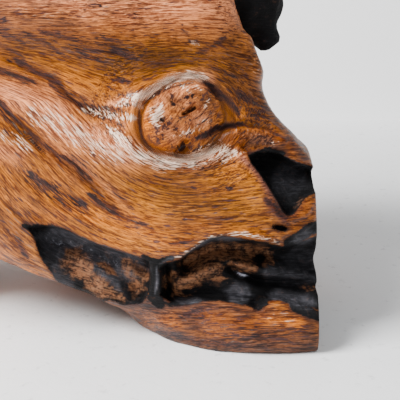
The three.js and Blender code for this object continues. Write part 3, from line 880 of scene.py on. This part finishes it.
def relief(p, front):
    """height of folds, knots, pits and swelling over the great lumps, in mm"""
    u, v = chart(p)
    total = fold_height(u, v)
    total += KNOT_HIGH * knot_profile(front_knot(u, v))
    for line, high, wide in PITS:
        total += high * bell(line_distance(u, v, line)[0] / wide)
    total *= front
    for centre, turn, half, high in FAR_KNOTS:
        rho, close, a, b = far_knot(p, centre, turn, half)
        slit = 6.0 * spot(a, b, SLIT_AT, (9.0, 2.6))
        pit = 3.5 * spot(a, b, (PIT_AT[0] * half[0], PIT_AT[1] * half[1]), (4.0, 4.0))
        total += close * (high * knot_profile(rho, 0.24, 0.15) - slit - pit)
    total += (1.0 - front) * sum(high * swell(p, size, seed) for high, size, seed in AWAY_SWELLS)
    total += front * 0.7 * swell(p, 15.0, 2.2)
    place = grain(p)
    total += (1.0 - front) * 2.2 * swell(in_sizes(place, FLUTE_SIZES), 1.0, 5.5)
    ribs = in_sizes(place, RIB_SIZES)
    for high, size, seed in RIBS:
        total += high * swell(ribs, size, seed)
    return total


def in_sizes(place, sizes):
    """a place in the grain, each part of it over its own size"""
    return np.stack([part / size for part, size in zip(place, sizes)], axis=1)


def grain(p):
    """along, across and into the grain, in chart units.

    across = v + slope(v) * softplus(level place - u), so that lines of even across run level at
    the right and climb to the left; round the front knot it is squeezed as a stream is round a
    post: knot + (across - knot) * (1 - share / rho^2). Inside the knot the grain turns.
    """
    u, v = chart(p)
    slope = np.interp(v, SLOPE_PLACES, SLOPES)
    left = LEVEL_OVER * np.logaddexp(0.0, (LEVEL_FROM - u) / LEVEL_OVER)
    psi = v + slope * np.minimum(left, CLIMB_RUN)
    middle = KNOT[1] + 4.0
    rho = np.hypot((u - KNOT[0]) / POST_HALF[0], (v - KNOT[1]) / POST_HALF[1])
    psi = middle + (psi - middle) * (1.0 - 1.0 / np.maximum(rho, 1.0) ** 2 * POST_SHARE)
    in_front = rise(0.0, -60.0, p[:, 1])
    within = rise(1.05, 0.8, rho) * in_front
    c, s = math.cos(KNOT_GRAIN), math.sin(KNOT_GRAIN)
    along = (u - KNOT[0]) * c + (v - KNOT[1]) * s
    across = (v - KNOT[1]) * c - (u - KNOT[0]) * s + 4.0 * np.sin(along / 11.0)
    phi = u * (1.0 - within) + (along + KNOT_ELSEWHERE[0]) * within
    psi = psi * (1.0 - within) + (across + KNOT_ELSEWHERE[1]) * within
    round_it = ROUND_RUN * np.clip(rho - 0.8, 0.0, 1.1) * in_front
    return phi, psi, (p[:, 1] + 100.0) / CHART_UNIT + round_it


def cube_rays(n):
    """directions (1, tan a, tan b) and turns of it on six faces, merged, with outward quads"""
    t = np.tan(np.linspace(-1.0, 1.0, n + 1) * math.pi / 4.0)
    a, b = np.meshgrid(t, t, indexing="ij")
    one = np.ones_like(a)
    faces = ((one, a, b), (-one, -a, b), (-a, one, b), (a, -one, b), (-b, a, one), (b, a, -one))
    points = np.concatenate([np.stack(face, axis=-1).reshape(-1, 3) for face in faces])
    cell = np.arange((n + 1) ** 2).reshape(n + 1, n + 1)
    quad = np.stack([cell[:-1, :-1], cell[1:, :-1], cell[1:, 1:], cell[:-1, 1:]], axis=-1).reshape(-1, 4)
    quads = np.concatenate([quad + k * (n + 1) ** 2 for k in range(6)])
    key = np.round(points * 1e6).astype(np.int64)
    first, back = np.unique(key, axis=0, return_index=True, return_inverse=True)[1:]
    rays = unit(points[first])
    quads = back.reshape(-1)[quads]
    corner = rays[quads]
    normal = np.cross(corner[:, 1] - corner[:, 0], corner[:, 3] - corner[:, 0])
    inward = np.sum(normal * corner.mean(axis=1), axis=1) < 0.0
    quads[inward] = quads[inward][:, ::-1]
    return rays, quads


def crowded(rays):
    """rays drawn towards the finer side: t -> (t + f) / (1 + f t) along its axis"""
    axis = unit(np.asarray(FINER_TOWARDS))
    t = rays @ axis
    side = np.sqrt(1.0 - FINER ** 2) / (1.0 + FINER * t)
    forward = (t + FINER) / (1.0 + FINER * t)
    return (rays - t[:, None] * axis) * side[:, None] + forward[:, None] * axis


def facing(p):
    """how squarely the great lumps face the eye of the chart, from their slope over 2 mm"""
    slope = np.stack([body_distance(p + e) - body_distance(p - e) for e in np.eye(3)], axis=-1)
    return rise(0.0, 0.5, -(unit(slope) @ SIGHT))


def plane_reach(distance, towards):
    """distance / towards, or far off for a ray that doesn't go towards the plane"""
    return np.where(towards > LEAST, distance / np.maximum(towards, LEAST), FAR_OFF)


def body_surface(n):
    """heart + ray * length, cut flat by the floor and the saw, then sunk along the sight"""
    rays, quads = cube_rays(n)
    rays = crowded(rays)
    front = rise(*SHAPED_FRONT, -rays[:, 1])
    plain = reach(rays, scooped_distance, HEART, *BODY_SEARCH)
    base = HEART + rays * plain[:, None]
    length = plain + relief(base, front)
    floor = plane_reach(HEART[2], -rays[:, 2])
    to_saw = SAWN_X - HEART[0] - SAWN_LEAN * HEART[2]
    sawn = plane_reach(to_saw, rays[:, 0] + SAWN_LEAN * rays[:, 2])
    length = soft_min(soft_min(length, floor, EDGE_ROUND), sawn, EDGE_ROUND)
    p = HEART + rays * length[:, None]
    sink = facing(base) * rise(2.0, 16.0, p[:, 2]) * (front > 0.0) * hollow_depth(*chart(p))
    return p + SIGHT * sink[:, None], quads


def spur_surface(n):
    """spur heart + ray * length, with lumps and flutes of up to 1.5 mm"""
    rays, quads = cube_rays(n)
    length = reach(rays, spur_distance, SPUR_HEART, *SPUR_SEARCH)
    p = SPUR_HEART + rays * length[:, None]
    flutes = p / np.array([6.0, 6.0, 24.0])
    length += 1.5 * swell(p, 11.0, 5.2) + 0.6 * swell(p, 4.5, 1.9) + 1.1 * swell(flutes, 1.0, 3.3)
    return SPUR_HEART + rays * length[:, None], quads


def to_linear(colour):
    """sRGB to linear light: ((c + 0.055) / 1.055) ^ 2.4"""
    c = np.asarray(colour, float)
    return np.where(c <= 0.04045, c / 12.92, ((c + 0.055) / 1.055) ** 2.4)


def tones(p, u, v, front, wander, drift):
    """ground patches from swells, then the strokes of PAINT over them along gently bent lines"""
    bent_u, bent_v = u + 5.0 * wander, v + 4.0 * drift
    honey = to_linear(TONES["honey"])
    tone = np.tile(honey, (len(p), 1))
    for name, (size, seed, most) in PATCHES.items():
        share = (most * rise(0.0, 0.7, swell(p, size, seed)))[:, None]
        tone = tone * (1.0 - share) + to_linear(TONES[name]) * share
    ground = tone * (1.0 - front[:, None]) + honey * front[:, None]
    for name, line, wide, strength in PAINT:
        share = (front * strength * bell(line_distance(bent_u, bent_v, line)[0] / wide))[:, None]
        tone = tone * (1.0 - share) + to_linear(TONES[name]) * share
    return tone, ground


def charring(p, u, v, front, spur, wander, drift):
    """how deep a point lies inside a charred edge: the greatest over hollows, lines and scoops"""
    char = np.full(len(p), UNCHARRED)
    for hollow in HOLLOWS:
        char = np.maximum(char, -outline_distance(u, v, hollow[0]))
    for line, wide in CHARRED:
        char = np.maximum(char, wide - line_distance(u, v, line)[0])
    char = np.where(front > 0.05, char, UNCHARRED)
    sawn = p[:, 0] + SAWN_LEAN * p[:, 2] > SAWN_X - 2.5
    inner = 0.7 * (-10.0 - p[:, 1] + 17.0 * drift + 10.0 * wander)
    char = np.where(sawn, np.minimum(char, inner), char)
    for centre, half in SCOOPS:
        char = np.maximum(char, -lump_distance(p, centre, np.asarray(half) * 1.05) * 1.4)
    return np.maximum(char, np.where(spur, SPUR_CHAR, UNCHARRED))


def knot_marks(p, u, v, front, drift):
    """rounds of the knots, and the dark marks at the pits, slits and rims of the far ones"""
    rounds = np.where(front > 0.2, front_knot(u, v), NO_KNOT)
    marks = np.zeros(len(p))
    for centre, turn, half, _ in FAR_KNOTS:
        rho, close, a, b = far_knot(p, centre, turn, half)
        rounds = np.where(close > 0.5, np.minimum(rounds, rho), rounds)
        slit = spot(a, b, SLIT_AT, (11.0, 4.0))
        rim = 0.4 * rise(-0.4, 0.6, drift) * bell((rho - 1.0) / 0.12)
        pit = 0.8 * spot(a, b, (PIT_AT[0] * half[0], PIT_AT[1] * half[1]), (5.0, 5.0))
        marks = np.maximum(marks, close * (slit + rim + pit))
    return np.minimum(rounds, MOST_ROUNDS), marks


def paint(p):
    """what the wood material reads at each point.

    tone, with painted sheen and shade in it, and ground are colours; marks holds streak, painted highlight
    and bare wood; grain is the place along, across and into the grain; char is the depth inside a charred
    edge; rounds is 1 at a knot's rim; the last holds speck, ash with its painted glints and reflections,
    and how far the point is on the front.
    """
    u, v = chart(p)
    front = rise(*PAINTED_FRONT, -unit(p - HEART)[:, 1])
    away = 1.0 - front
    spur = (spur_distance(p) < 4.0) & (body_distance(p) > 1.5)
    wander = swell(p, 26.0, 3.1)
    drift = swell(p, 11.0, 0.4)
    tone, ground = tones(p, u, v, front, wander, drift)
    lift = fold_height(u, v) + KNOT_HIGH * knot_profile(front_knot(u, v))
    # painted shade: the tone is darker down in the furrows of the folds and round the knot's rim
    tone = tone * (1.0 - 0.42 * front * rise(0.5, 4.0, -lift))[:, None]
    rounds, marks = knot_marks(p, u, v, front, drift)
    place = grain(p)
    bands = swell(in_sizes(place, BAND_SIZES), 1.0, 7.7)
    sheen = swell(in_sizes(place, SHEEN_SIZES), 1.0, 2.9)
    streak = np.maximum(0.86 * front * strokes(u + 1.6 * wander, v + 1.6 * drift, STREAKS), marks)
    streak = np.maximum(streak, 0.95 * away * rise(0.2, 0.7, bands))
    # painted highlights: the listed pale lines, a little more on the high ridges of the folds, and a
    # painted sheen along the grain away from the front
    painted_highlight = front * np.maximum(strokes(u, v, PAINTED_HIGHLIGHTS), 0.12 * rise(2.5, 6.0, lift))
    painted_highlight = np.maximum(painted_highlight, 0.26 * away * rise(0.3, 0.8, sheen))
    # painted shadow: black lines in the hole and the crevices are taken out of the bare wood
    bare = front * (strokes(u, v, BARE) - 1.3 * strokes(u, v, PAINTED_SHADOWS))
    bare += away * (1.0 - spur) * rise(-0.1, 0.5, swell(p, 12.0, 4.4))
    speck = front * strokes(u + 2.0 * drift, v + 1.5 * wander, SPECKS)
    ash_and_glint = front * strokes(u, v, ASH_AND_GLINTS) * (1.0 - spur)
    ash_and_glint += away * 0.25 * np.where(spur, rise(56.0, 82.0, p[:, 1]), 1.0)
    return {
        "tone": tone,
        "ground": ground,
        "marks": np.stack([streak, painted_highlight, bare], axis=1),
        "grain": np.stack(place, axis=1) * GRAIN_SCALE,
        "char": charring(p, u, v, front, spur, wander, drift),
        "rounds": rounds,
        "speck_ash_glint": np.stack([speck, ash_and_glint, front], axis=1),
    }


class Wire:
    """A socket that takes part in sums: an expression adds its Math nodes."""

    def __init__(self, bench, socket):
        self.bench = bench
        self.socket = socket

    def __add__(self, other):
        return self.bench.math("ADD", self, other)

    def __radd__(self, other):
        return self.bench.math("ADD", other, self)

    def __sub__(self, other):
        return self.bench.math("SUBTRACT", self, other)

    def __rsub__(self, other):
        return self.bench.math("SUBTRACT", other, self)

    def __mul__(self, other):
        return self.bench.math("MULTIPLY", self, other)

    def __rmul__(self, other):
        return self.bench.math("MULTIPLY", other, self)

    def size(self):
        return self.bench.math("ABSOLUTE", self)

    def clamp(self):
        return self.bench.node("ShaderNodeClamp", {}, {"Value": self}).out("Result")

    def rise(self, low, high):
        """0 below low, 1 above high, smooth between"""
        settings = {"interpolation_type": "SMOOTHSTEP"}
        values = {"Value": self, "From Min": low, "From Max": high}
        return self.bench.node("ShaderNodeMapRange", settings, values).out("Result")


class Placed:
    """A node on the bench, with its outputs as wires."""

    def __init__(self, bench, node):
        self.bench = bench
        self.node = node

    def out(self, name):
        return Wire(self.bench, self.node.outputs[name])


class Bench:
    """Where one material's nodes are put together."""

    def __init__(self, tree):
        self.tree = tree

    def node(self, kind, settings, values):
        """a node of a kind, with its settings made first and then its sockets set or linked"""
        node = self.tree.nodes.new(kind)
        for name, value in settings.items():
            setattr(node, name, value)
        for name, value in values.items():
            if isinstance(value, Wire):
                self.feed(value, node, name)
            else:
                node.inputs[name].default_value = value
        return Placed(self, node)

    def feed(self, wire, node, name):
        """a wire linked to one of a node's sockets"""
        self.tree.links.new(wire.socket, node.inputs[name])

    def math(self, operation, *values):
        """a Math node's value"""
        return self.node("ShaderNodeMath", {"operation": operation}, dict(enumerate(values))).out("Value")

    def times(self, vector, scale):
        """a vector or colour times another, part by part"""
        values = {0: vector, 1: scale}
        return self.node("ShaderNodeVectorMath", {"operation": "MULTIPLY"}, values).out("Vector")

    def mix(self, factor, a, b):
        """colour a to colour b by factor; the colour sockets of a Mix node are 6 and 7"""
        settings = {"data_type": "RGBA", "blend_type": "MIX", "clamp_factor": True}
        placed = self.node("ShaderNodeMix", settings, {0: factor, 6: a, 7: b})
        return Wire(self, placed.node.outputs[2])

    def place(self):
        """a point's own place in the object, in metres"""
        return self.node("ShaderNodeTexCoord", {}, {}).out("Object")

    def attribute(self, name, out="Vector"):
        """a value that is kept on the mesh under a name"""
        return self.node("ShaderNodeAttribute", {"attribute_name": name}, {}).out(out)

    def noise(self, vector, scale, detail, rough, bend=0.0):
        """fractal noise about 0.5"""
        values = {"Vector": vector, "Scale": scale, "Detail": detail}
        values.update({"Roughness": rough, "Distortion": bend})
        return self.node("ShaderNodeTexNoise", {}, values).out("Fac")

    def parts(self, vector):
        """the three parts of a vector"""
        placed = self.node("ShaderNodeSeparateXYZ", {}, {"Vector": vector})
        return placed.out("X"), placed.out("Y"), placed.out("Z")

    def bump(self, height, strength, shader):
        """height in millimetres, as a Bump node on the shader's Normal"""
        placed = self.node("ShaderNodeBump", {}, {"Strength": strength, "Distance": MM, "Height": height})
        self.feed(placed.out("Normal"), shader, "Normal")


def opaque(colour):
    return (*[float(c) for c in colour], 1.0)


def shade(name):
    """a tone by its name, as an opaque linear colour"""
    return opaque(to_linear(TONES[name]))


def new_material(name):
    """a material with an empty tree, its Principled shader already wired to the output"""
    material = bpy.data.materials.new(name)
    material.use_nodes = True
    tree = material.node_tree
    tree.nodes.clear()
    bench = Bench(tree)
    shader = bench.node("ShaderNodeBsdfPrincipled", {}, {})
    bench.node("ShaderNodeOutputMaterial", {}, {"Surface": shader.out("BSDF")})
    return material, bench, shader.node


def burl_material(settings):
    """polished wood with stretched grain, plum streaks and dashes, charred black in the hollows"""
    material, bench, shader = new_material("burl_wood")
    place = bench.place()
    grain_place = bench.attribute("grain")
    streak, painted_highlight, bare = bench.parts(bench.attribute("marks"))
    speck, ash_and_glint, front = bench.parts(bench.attribute("speck_ash_glint"))
    char_edge = bench.attribute("char", "Fac")
    rounds = bench.attribute("rounds", "Fac")
    ground = bench.attribute("ground", "Color")
    tone = bench.attribute("tone", "Color")
    fibre, vein, fleck, strand, pores = (
        bench.noise(bench.times(grain_place, stretch), 1.0, *rest)
        for stretch, *rest in GRAIN_NOISE.values()
    )
    mottle, crumb, cloud, grit = (bench.noise(place, *row) for row in PLACE_NOISE.values())
    inside_knot = 1.0 - rounds.rise(0.80, 1.05)
    curl = fibre + (crumb - fibre) * (inside_knot * 0.55)

    # Tones of the wood, with dark and light grain over them
    wood = bench.mix((2.2 * curl + 1.3 * vein - 1.2).rise(0.1, 0.75), tone, bench.mix(0.18, tone, ground))
    dark_wood = bench.times(wood, DARKER)
    light_wood = bench.times(wood, LIGHTER)
    for excess, low, high, most, colour in (
        (0.5 - curl, 0.0, 0.11, 0.9, dark_wood),
        (0.48 - vein, -0.02, 0.12, 0.6, dark_wood),
        (0.44 - fleck, -0.02, 0.10, 0.6, dark_wood),
        (curl - 0.5, 0.01, 0.12, 0.88, light_wood),
        (fleck - 0.55, 0.0, 0.10, 0.5, light_wood),
        (cloud - 0.5, 0.0, 0.2, 0.3, dark_wood),
    ):
        wood = bench.mix(excess.rise(low, high) * most, wood, colour)

    # Spots and creases of the knots, hair lines, streaks, specks and pores
    plum = shade("streak")
    deep_plum = shade("crease")
    knot_spot = (crumb + mottle - 1.02).rise(0.01, 0.13)
    wood = bench.mix(inside_knot * knot_spot * 0.95, wood, plum)
    crease = (0.075 - (rounds - 1.0).size()).rise(0.0, 0.07) * (0.25 + 1.6 * (mottle - 0.4)).clamp()
    wood = bench.mix(crease * (0.25 + 0.55 * front), wood, deep_plum)
    hair = (0.055 - (strand - 0.5).size()).rise(0.0, 0.04)
    hair_share = (cloud - 0.45).rise(0.0, 0.12) * 0.6
    hair_share = hair_share + streak.rise(0.1, 0.5) * 0.6 + painted_highlight.rise(0.1, 0.5) * 0.55
    wood = bench.mix((hair * hair_share).clamp() * (1.0 - 0.5 * inside_knot), wood, deep_plum)
    ragged_streak = streak + 3.0 * (curl - 0.5) + 1.4 * (vein - 0.5) + 1.6 * (fleck - 0.5)
    streak_mask = ragged_streak.rise(0.48, 0.76)
    wood = bench.mix(streak_mask * 0.8, wood, plum)
    wood = bench.mix(ragged_streak.rise(0.74, 1.05) * 0.9, wood, deep_plum)
    speck_mask = (speck + 1.7 * (crumb - 0.5) + 0.6 * (mottle - 0.5)).rise(0.42, 0.74)
    wood = bench.mix(speck_mask * 0.92, wood, deep_plum)
    pore_mask = pores.rise(0.62, 0.70) * (1.0 - inside_knot)
    wood = bench.mix(pore_mask * 0.85, wood, plum)

    # Painted highlights: pale where the light would catch the crests
    shine = (painted_highlight + 2.6 * (curl - 0.5) + 2.2 * (fleck - 0.5)).rise(0.4, 0.76) * (1.0 - speck_mask)
    shine = shine * (1.0 - hair * 0.85) * (0.12 + painted_highlight.rise(0.04, 0.3)) * (curl - 0.38).rise(0.0, 0.12)
    pale = bench.mix((crumb + mottle - 1.0).rise(0.0, 0.18) * 0.4, shade("pale"), shade("blush"))
    wood = bench.mix(shine * 0.9, wood, pale)

    # Char with a scorched rim, ash with painted glints and reflections on it, and bare wood
    ragged = char_edge + (mottle - 0.5) * 5.0 + (fibre - 0.5) * 5.0
    char_mask = ragged.rise(-0.4, 1.2)
    scorch = ragged.rise(-5.0, 0.6) * (1.0 - char_mask)
    wood = bench.mix(scorch * 0.6, wood, shade("scorch"))
    coal_light = (mottle - 0.5).rise(-0.1, 0.25) + (fibre - 0.5).rise(0.0, 0.2)
    coal = bench.mix(coal_light * (0.04 + 0.6 * ash_and_glint) + 0.3 * ash_and_glint, shade("coal"), shade("ash_and_glint"))
    # white where the ash strokes are strongest: painted glints on the char
    coal = bench.mix((ash_and_glint + 1.6 * (crumb - 0.5) - 1.1).rise(0.0, 0.7), coal, shade("glint white"))
    bare_mask = (bare + 1.2 * (mottle - 0.5) + 1.0 * (crumb - 0.5)).rise(0.10, 0.95) * ragged.rise(1.0, 6.0)
    tan = bench.mix((mottle + crumb).rise(0.82, 1.2), shade("bare dark"), shade("bare light"))
    tan = bench.mix((curl + grit - 1.0).rise(-0.02, 0.12) * 0.6, tan, shade("tan"))
    tan = bench.mix((0.47 - fibre).rise(0.0, 0.1) * 0.7, tan, shade("bare furrow"))
    coal = bench.mix(bare_mask * 0.9, coal, tan)
    bench.feed(bench.mix(char_mask, wood, coal), shader, "Base Color")

    # Wax over the wood, none on the char
    wood_rough = 0.27 + 0.30 * curl + streak_mask * 0.08
    coal_rough = 0.55 + 0.3 * mottle
    bench.feed(wood_rough * (1.0 - char_mask) + coal_rough * char_mask, shader, "Roughness")
    coat = (1.0 - char_mask) * (0.05 + 0.15 * (vein - 0.5).rise(-0.1, 0.15) + 0.7 * shine)
    bench.feed(coat.clamp(), shader, "Coat Weight")
    shader.inputs["Coat Roughness"].default_value = settings.coat_rough
    shader.inputs["Specular IOR Level"].default_value = settings.gloss

    wood_height = curl * 0.6 + vein * 0.9 + fleck * 0.2 - pore_mask * 0.10 - streak_mask * 0.12
    coal_height = mottle * 2.0 + fibre * 1.2 + grit * 0.2
    bench.bump(wood_height * (1.0 - char_mask) + coal_height * char_mask, settings.relief, shader)
    return material


def put_mesh(name, points, quads):
    """a mesh object of points in metres and quads, smooth"""
    mesh = bpy.data.meshes.new(name)
    mesh.from_pydata(points.tolist(), [], quads.tolist())
    mesh.polygons.foreach_set("use_smooth", np.ones(len(quads), bool))
    mesh.update()
    obj = bpy.data.objects.new(name, mesh)
    bpy.context.scene.collection.objects.link(obj)
    return obj


def store(mesh, name, kind, values):
    """a value of each point, kept on the mesh under a name"""
    attribute = mesh.attributes.new(name, kind, "POINT")
    key = {"FLOAT": "value", "FLOAT_VECTOR": "vector", "FLOAT_COLOR": "color"}[kind]
    attribute.data.foreach_set(key, np.ascontiguousarray(values, np.float32).ravel())


def join(obj, tool):
    """the union of an object with a second one, which is then taken away"""
    joiner = obj.modifiers.new("join", "BOOLEAN")
    joiner.operation = "UNION"
    joiner.solver = "EXACT"
    joiner.object = tool
    graph = bpy.context.evaluated_depsgraph_get()
    mesh = bpy.data.meshes.new_from_object(obj.evaluated_get(graph))
    obj.modifiers.clear()
    old = obj.data
    obj.data = mesh
    bpy.data.meshes.remove(old)
    bpy.data.objects.remove(tool)


def mesh_points(mesh):
    """the mesh's points, in millimetres"""
    flat = np.empty(len(mesh.vertices) * 3, np.float32)
    mesh.vertices.foreach_get("co", flat)
    return flat.reshape(-1, 3).astype(float) / MM


def onto_box(points):
    """low + (points - own low) * scale, which is the burl's box in the frame; and the shift in it"""
    low, high = (np.asarray(corner, float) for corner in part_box("burl"))
    own_low, own_high = points.min(axis=0), points.max(axis=0)
    scale = (high - low) / (own_high - own_low)
    return low + (points - own_low) * scale, low - own_low * scale


class BurlSettings(bpy.types.PropertyGroup):
    fineness: IntProperty(
        name="Fineness", description="Cells along one side of the grid of rays",
        default=124, min=8, max=128)
    spur_fineness: IntProperty(
        name="Spur fineness", description="The same for the spur", default=22, min=4, max=40)
    coat_rough: FloatProperty(
        name="Wax roughness", description="Roughness of the waxed coat", default=0.2, min=0.0, max=1.0)
    gloss: FloatProperty(
        name="Bare gloss", description="Mirror light of the wood under the wax",
        default=0.12, min=0.0, max=1.0)
    relief: FloatProperty(
        name="Grain relief", description="Strength of the fine relief", default=0.8, min=0.0, max=2.0)


class StudioSettings(bpy.types.PropertyGroup):
    floor_colour: FloatVectorProperty(
        name="Floor", description="Colour of the floor", subtype="COLOR", default=(0.97, 0.97, 0.97))
    wall_colour: FloatVectorProperty(
        name="Wall", description="Colour of the backdrop", subtype="COLOR", default=(0.98, 0.98, 0.98))
    wall_distance: FloatProperty(
        name="Wall distance", description="From the origin to the backdrop", subtype="DISTANCE",
        default=0.644)
    key_power: FloatProperty(
        name="Key light", description="Power of the large soft light", subtype="POWER", default=94.0)
    fill_power: FloatProperty(
        name="Fill light", description="Power of the fill light", subtype="POWER", default=7.0)


class BURL_OT_wood(bpy.types.Operator):
    """Build the burl with its spur, its painted attributes and its wood"""

    bl_idname = "burl.wood"
    bl_label = "Burl"

    def execute(self, context):
        settings = context.scene.burl
        points, quads = body_surface(settings.fineness)
        spur_points, spur_quads = spur_surface(settings.spur_fineness)
        burl = put_mesh("root_burl", points * MM, quads)
        spur = put_mesh("spur_tool", spur_points * MM, spur_quads)
        join(burl, spur)
        mesh = burl.data
        points = mesh_points(mesh)
        made = paint(points)
        solid = np.ones((len(points), 1))
        for name in ("tone", "ground"):
            store(mesh, name, "FLOAT_COLOR", np.concatenate([made[name], solid], axis=1))
        for name in ("marks", "grain", "speck_ash_glint"):
            store(mesh, name, "FLOAT_VECTOR", made[name])
        for name in ("char", "rounds"):
            store(mesh, name, "FLOAT", made[name])
        placed, shift = onto_box(points * MM)
        mesh.vertices.foreach_set("co", placed.astype(np.float32).ravel())
        mesh.update()
        context.scene["burl_shift"] = shift.tolist()
        mesh.materials.clear()
        mesh.materials.append(burl_material(settings))
        mesh.polygons.foreach_set("material_index", np.zeros(len(mesh.polygons), np.int32))
        mesh.polygons.foreach_set("use_smooth", np.ones(len(mesh.polygons), bool))
        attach(burl, "root")
        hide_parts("burl")
        return {"FINISHED"}


def area_light(name, place, target, size, power):
    """a square soft light at a place, turned to a target"""
    light = bpy.data.lights.new(name, "AREA")
    light.shape = "SQUARE"
    light.size = size
    light.energy = power
    obj = bpy.data.objects.new(name, light)
    obj.location = place
    obj.rotation_euler = (Vector(target) - Vector(place)).to_track_quat("-Z", "Y").to_euler()
    bpy.context.scene.collection.objects.link(obj)


def plaster(name, colour, worn):
    """pale plaster, clouded, specked and gently uneven as far as it is worn"""
    material, bench, shader = new_material(name)
    place = bench.place()
    cloud = bench.noise(place, 7.0, 4.0, 0.6)
    speck = bench.noise(place, 90.0, 4.0, 0.7)
    clouded = opaque(np.asarray(colour) * 0.93)
    dirty = opaque(np.asarray(colour) * 0.6)
    tone = bench.mix(cloud.rise(0.35, 0.7) * worn, opaque(colour), clouded)
    tone = bench.mix((0.42 - speck).rise(0.0, 0.12) * worn, tone, dirty)
    bench.feed(tone, shader, "Base Color")
    shader.inputs["Roughness"].default_value = 0.6
    bench.bump(speck * 1.2 + cloud * 2.0, 0.6 * worn, shader)
    return material


class BURL_OT_studio(bpy.types.Operator):
    """Lay the floor and the backdrop, hang the soft lights and set the camera"""

    bl_idname = "burl.studio"
    bl_label = "Studio"

    def execute(self, context):
        settings = context.scene.studio
        square = np.array([[0, 1, 2, 3]])
        wide, high, back = FLOOR_HALF, WALL_HIGH, settings.wall_distance
        floor = np.array([[-wide, -wide, 0.0], [wide, -wide, 0.0], [wide, wide, 0.0], [-wide, wide, 0.0]])
        ground = put_mesh("floor", floor, square)
        ground.data.materials.append(plaster("floor_plaster", settings.floor_colour, 0.5))
        wall = np.array([[-wide, back, 0.0], [wide, back, 0.0], [wide, back, high], [-wide, back, high]])
        backdrop = put_mesh("backdrop", wall, square)
        backdrop.data.materials.append(plaster("wall_plaster", settings.wall_colour, 0.1))
        area_light("key", *KEY, settings.key_power)
        area_light("fill", *FILL, settings.fill_power)
        world = bpy.data.worlds.new("studio")
        world.use_nodes = True
        sky = world.node_tree.nodes["Background"]
        sky.inputs["Color"].default_value = SKY
        sky.inputs["Strength"].default_value = SKY_STRENGTH
        context.scene.world = world
        camera = bpy.data.cameras.new("camera")
        camera.sensor_fit = "HORIZONTAL"
        camera.sensor_width = SENSOR
        camera.lens = SENSOR * CHART_SCALE / (2.0 * CHART_MIDDLE)
        camera.clip_start = 0.05
        obj = bpy.data.objects.new("camera", camera)
        shift = np.asarray(context.scene["burl_shift"])
        obj.location = (EYE * MM + shift).tolist()
        obj.rotation_euler = (math.radians(90.0) - EYE_PITCH, 0.0, 0.0)
        context.scene.collection.objects.link(obj)
        context.scene.camera = obj
        return {"FINISHED"}


class BURL_PT_panel(bpy.types.Panel):
    """The burl's settings and steps"""

    bl_label = "Root burl"
    bl_idname = "BURL_PT_panel"
    bl_space_type = "VIEW_3D"
    bl_region_type = "UI"
    bl_category = "Burl"

    def draw(self, context):
        for group in (context.scene.burl, context.scene.studio):
            for name in type(group).__annotations__:
                self.layout.prop(group, name)
        self.layout.operator(BURL_OT_wood.bl_idname)
        self.layout.operator(BURL_OT_studio.bl_idname)


CLASSES = (BurlSettings, StudioSettings, BURL_OT_wood, BURL_OT_studio, BURL_PT_panel)


def register():
    for cls in CLASSES:
        bpy.utils.register_class(cls)
    bpy.types.Scene.burl = PointerProperty(type=BurlSettings)
    bpy.types.Scene.studio = PointerProperty(type=StudioSettings)


def unregister():
    del bpy.types.Scene.studio
    del bpy.types.Scene.burl
    for cls in reversed(CLASSES):
        bpy.utils.unregister_class(cls)


def main():
    register()
    bpy.ops.burl.wood()
    bpy.ops.burl.studio()


if __name__ == "__main__":
    main()
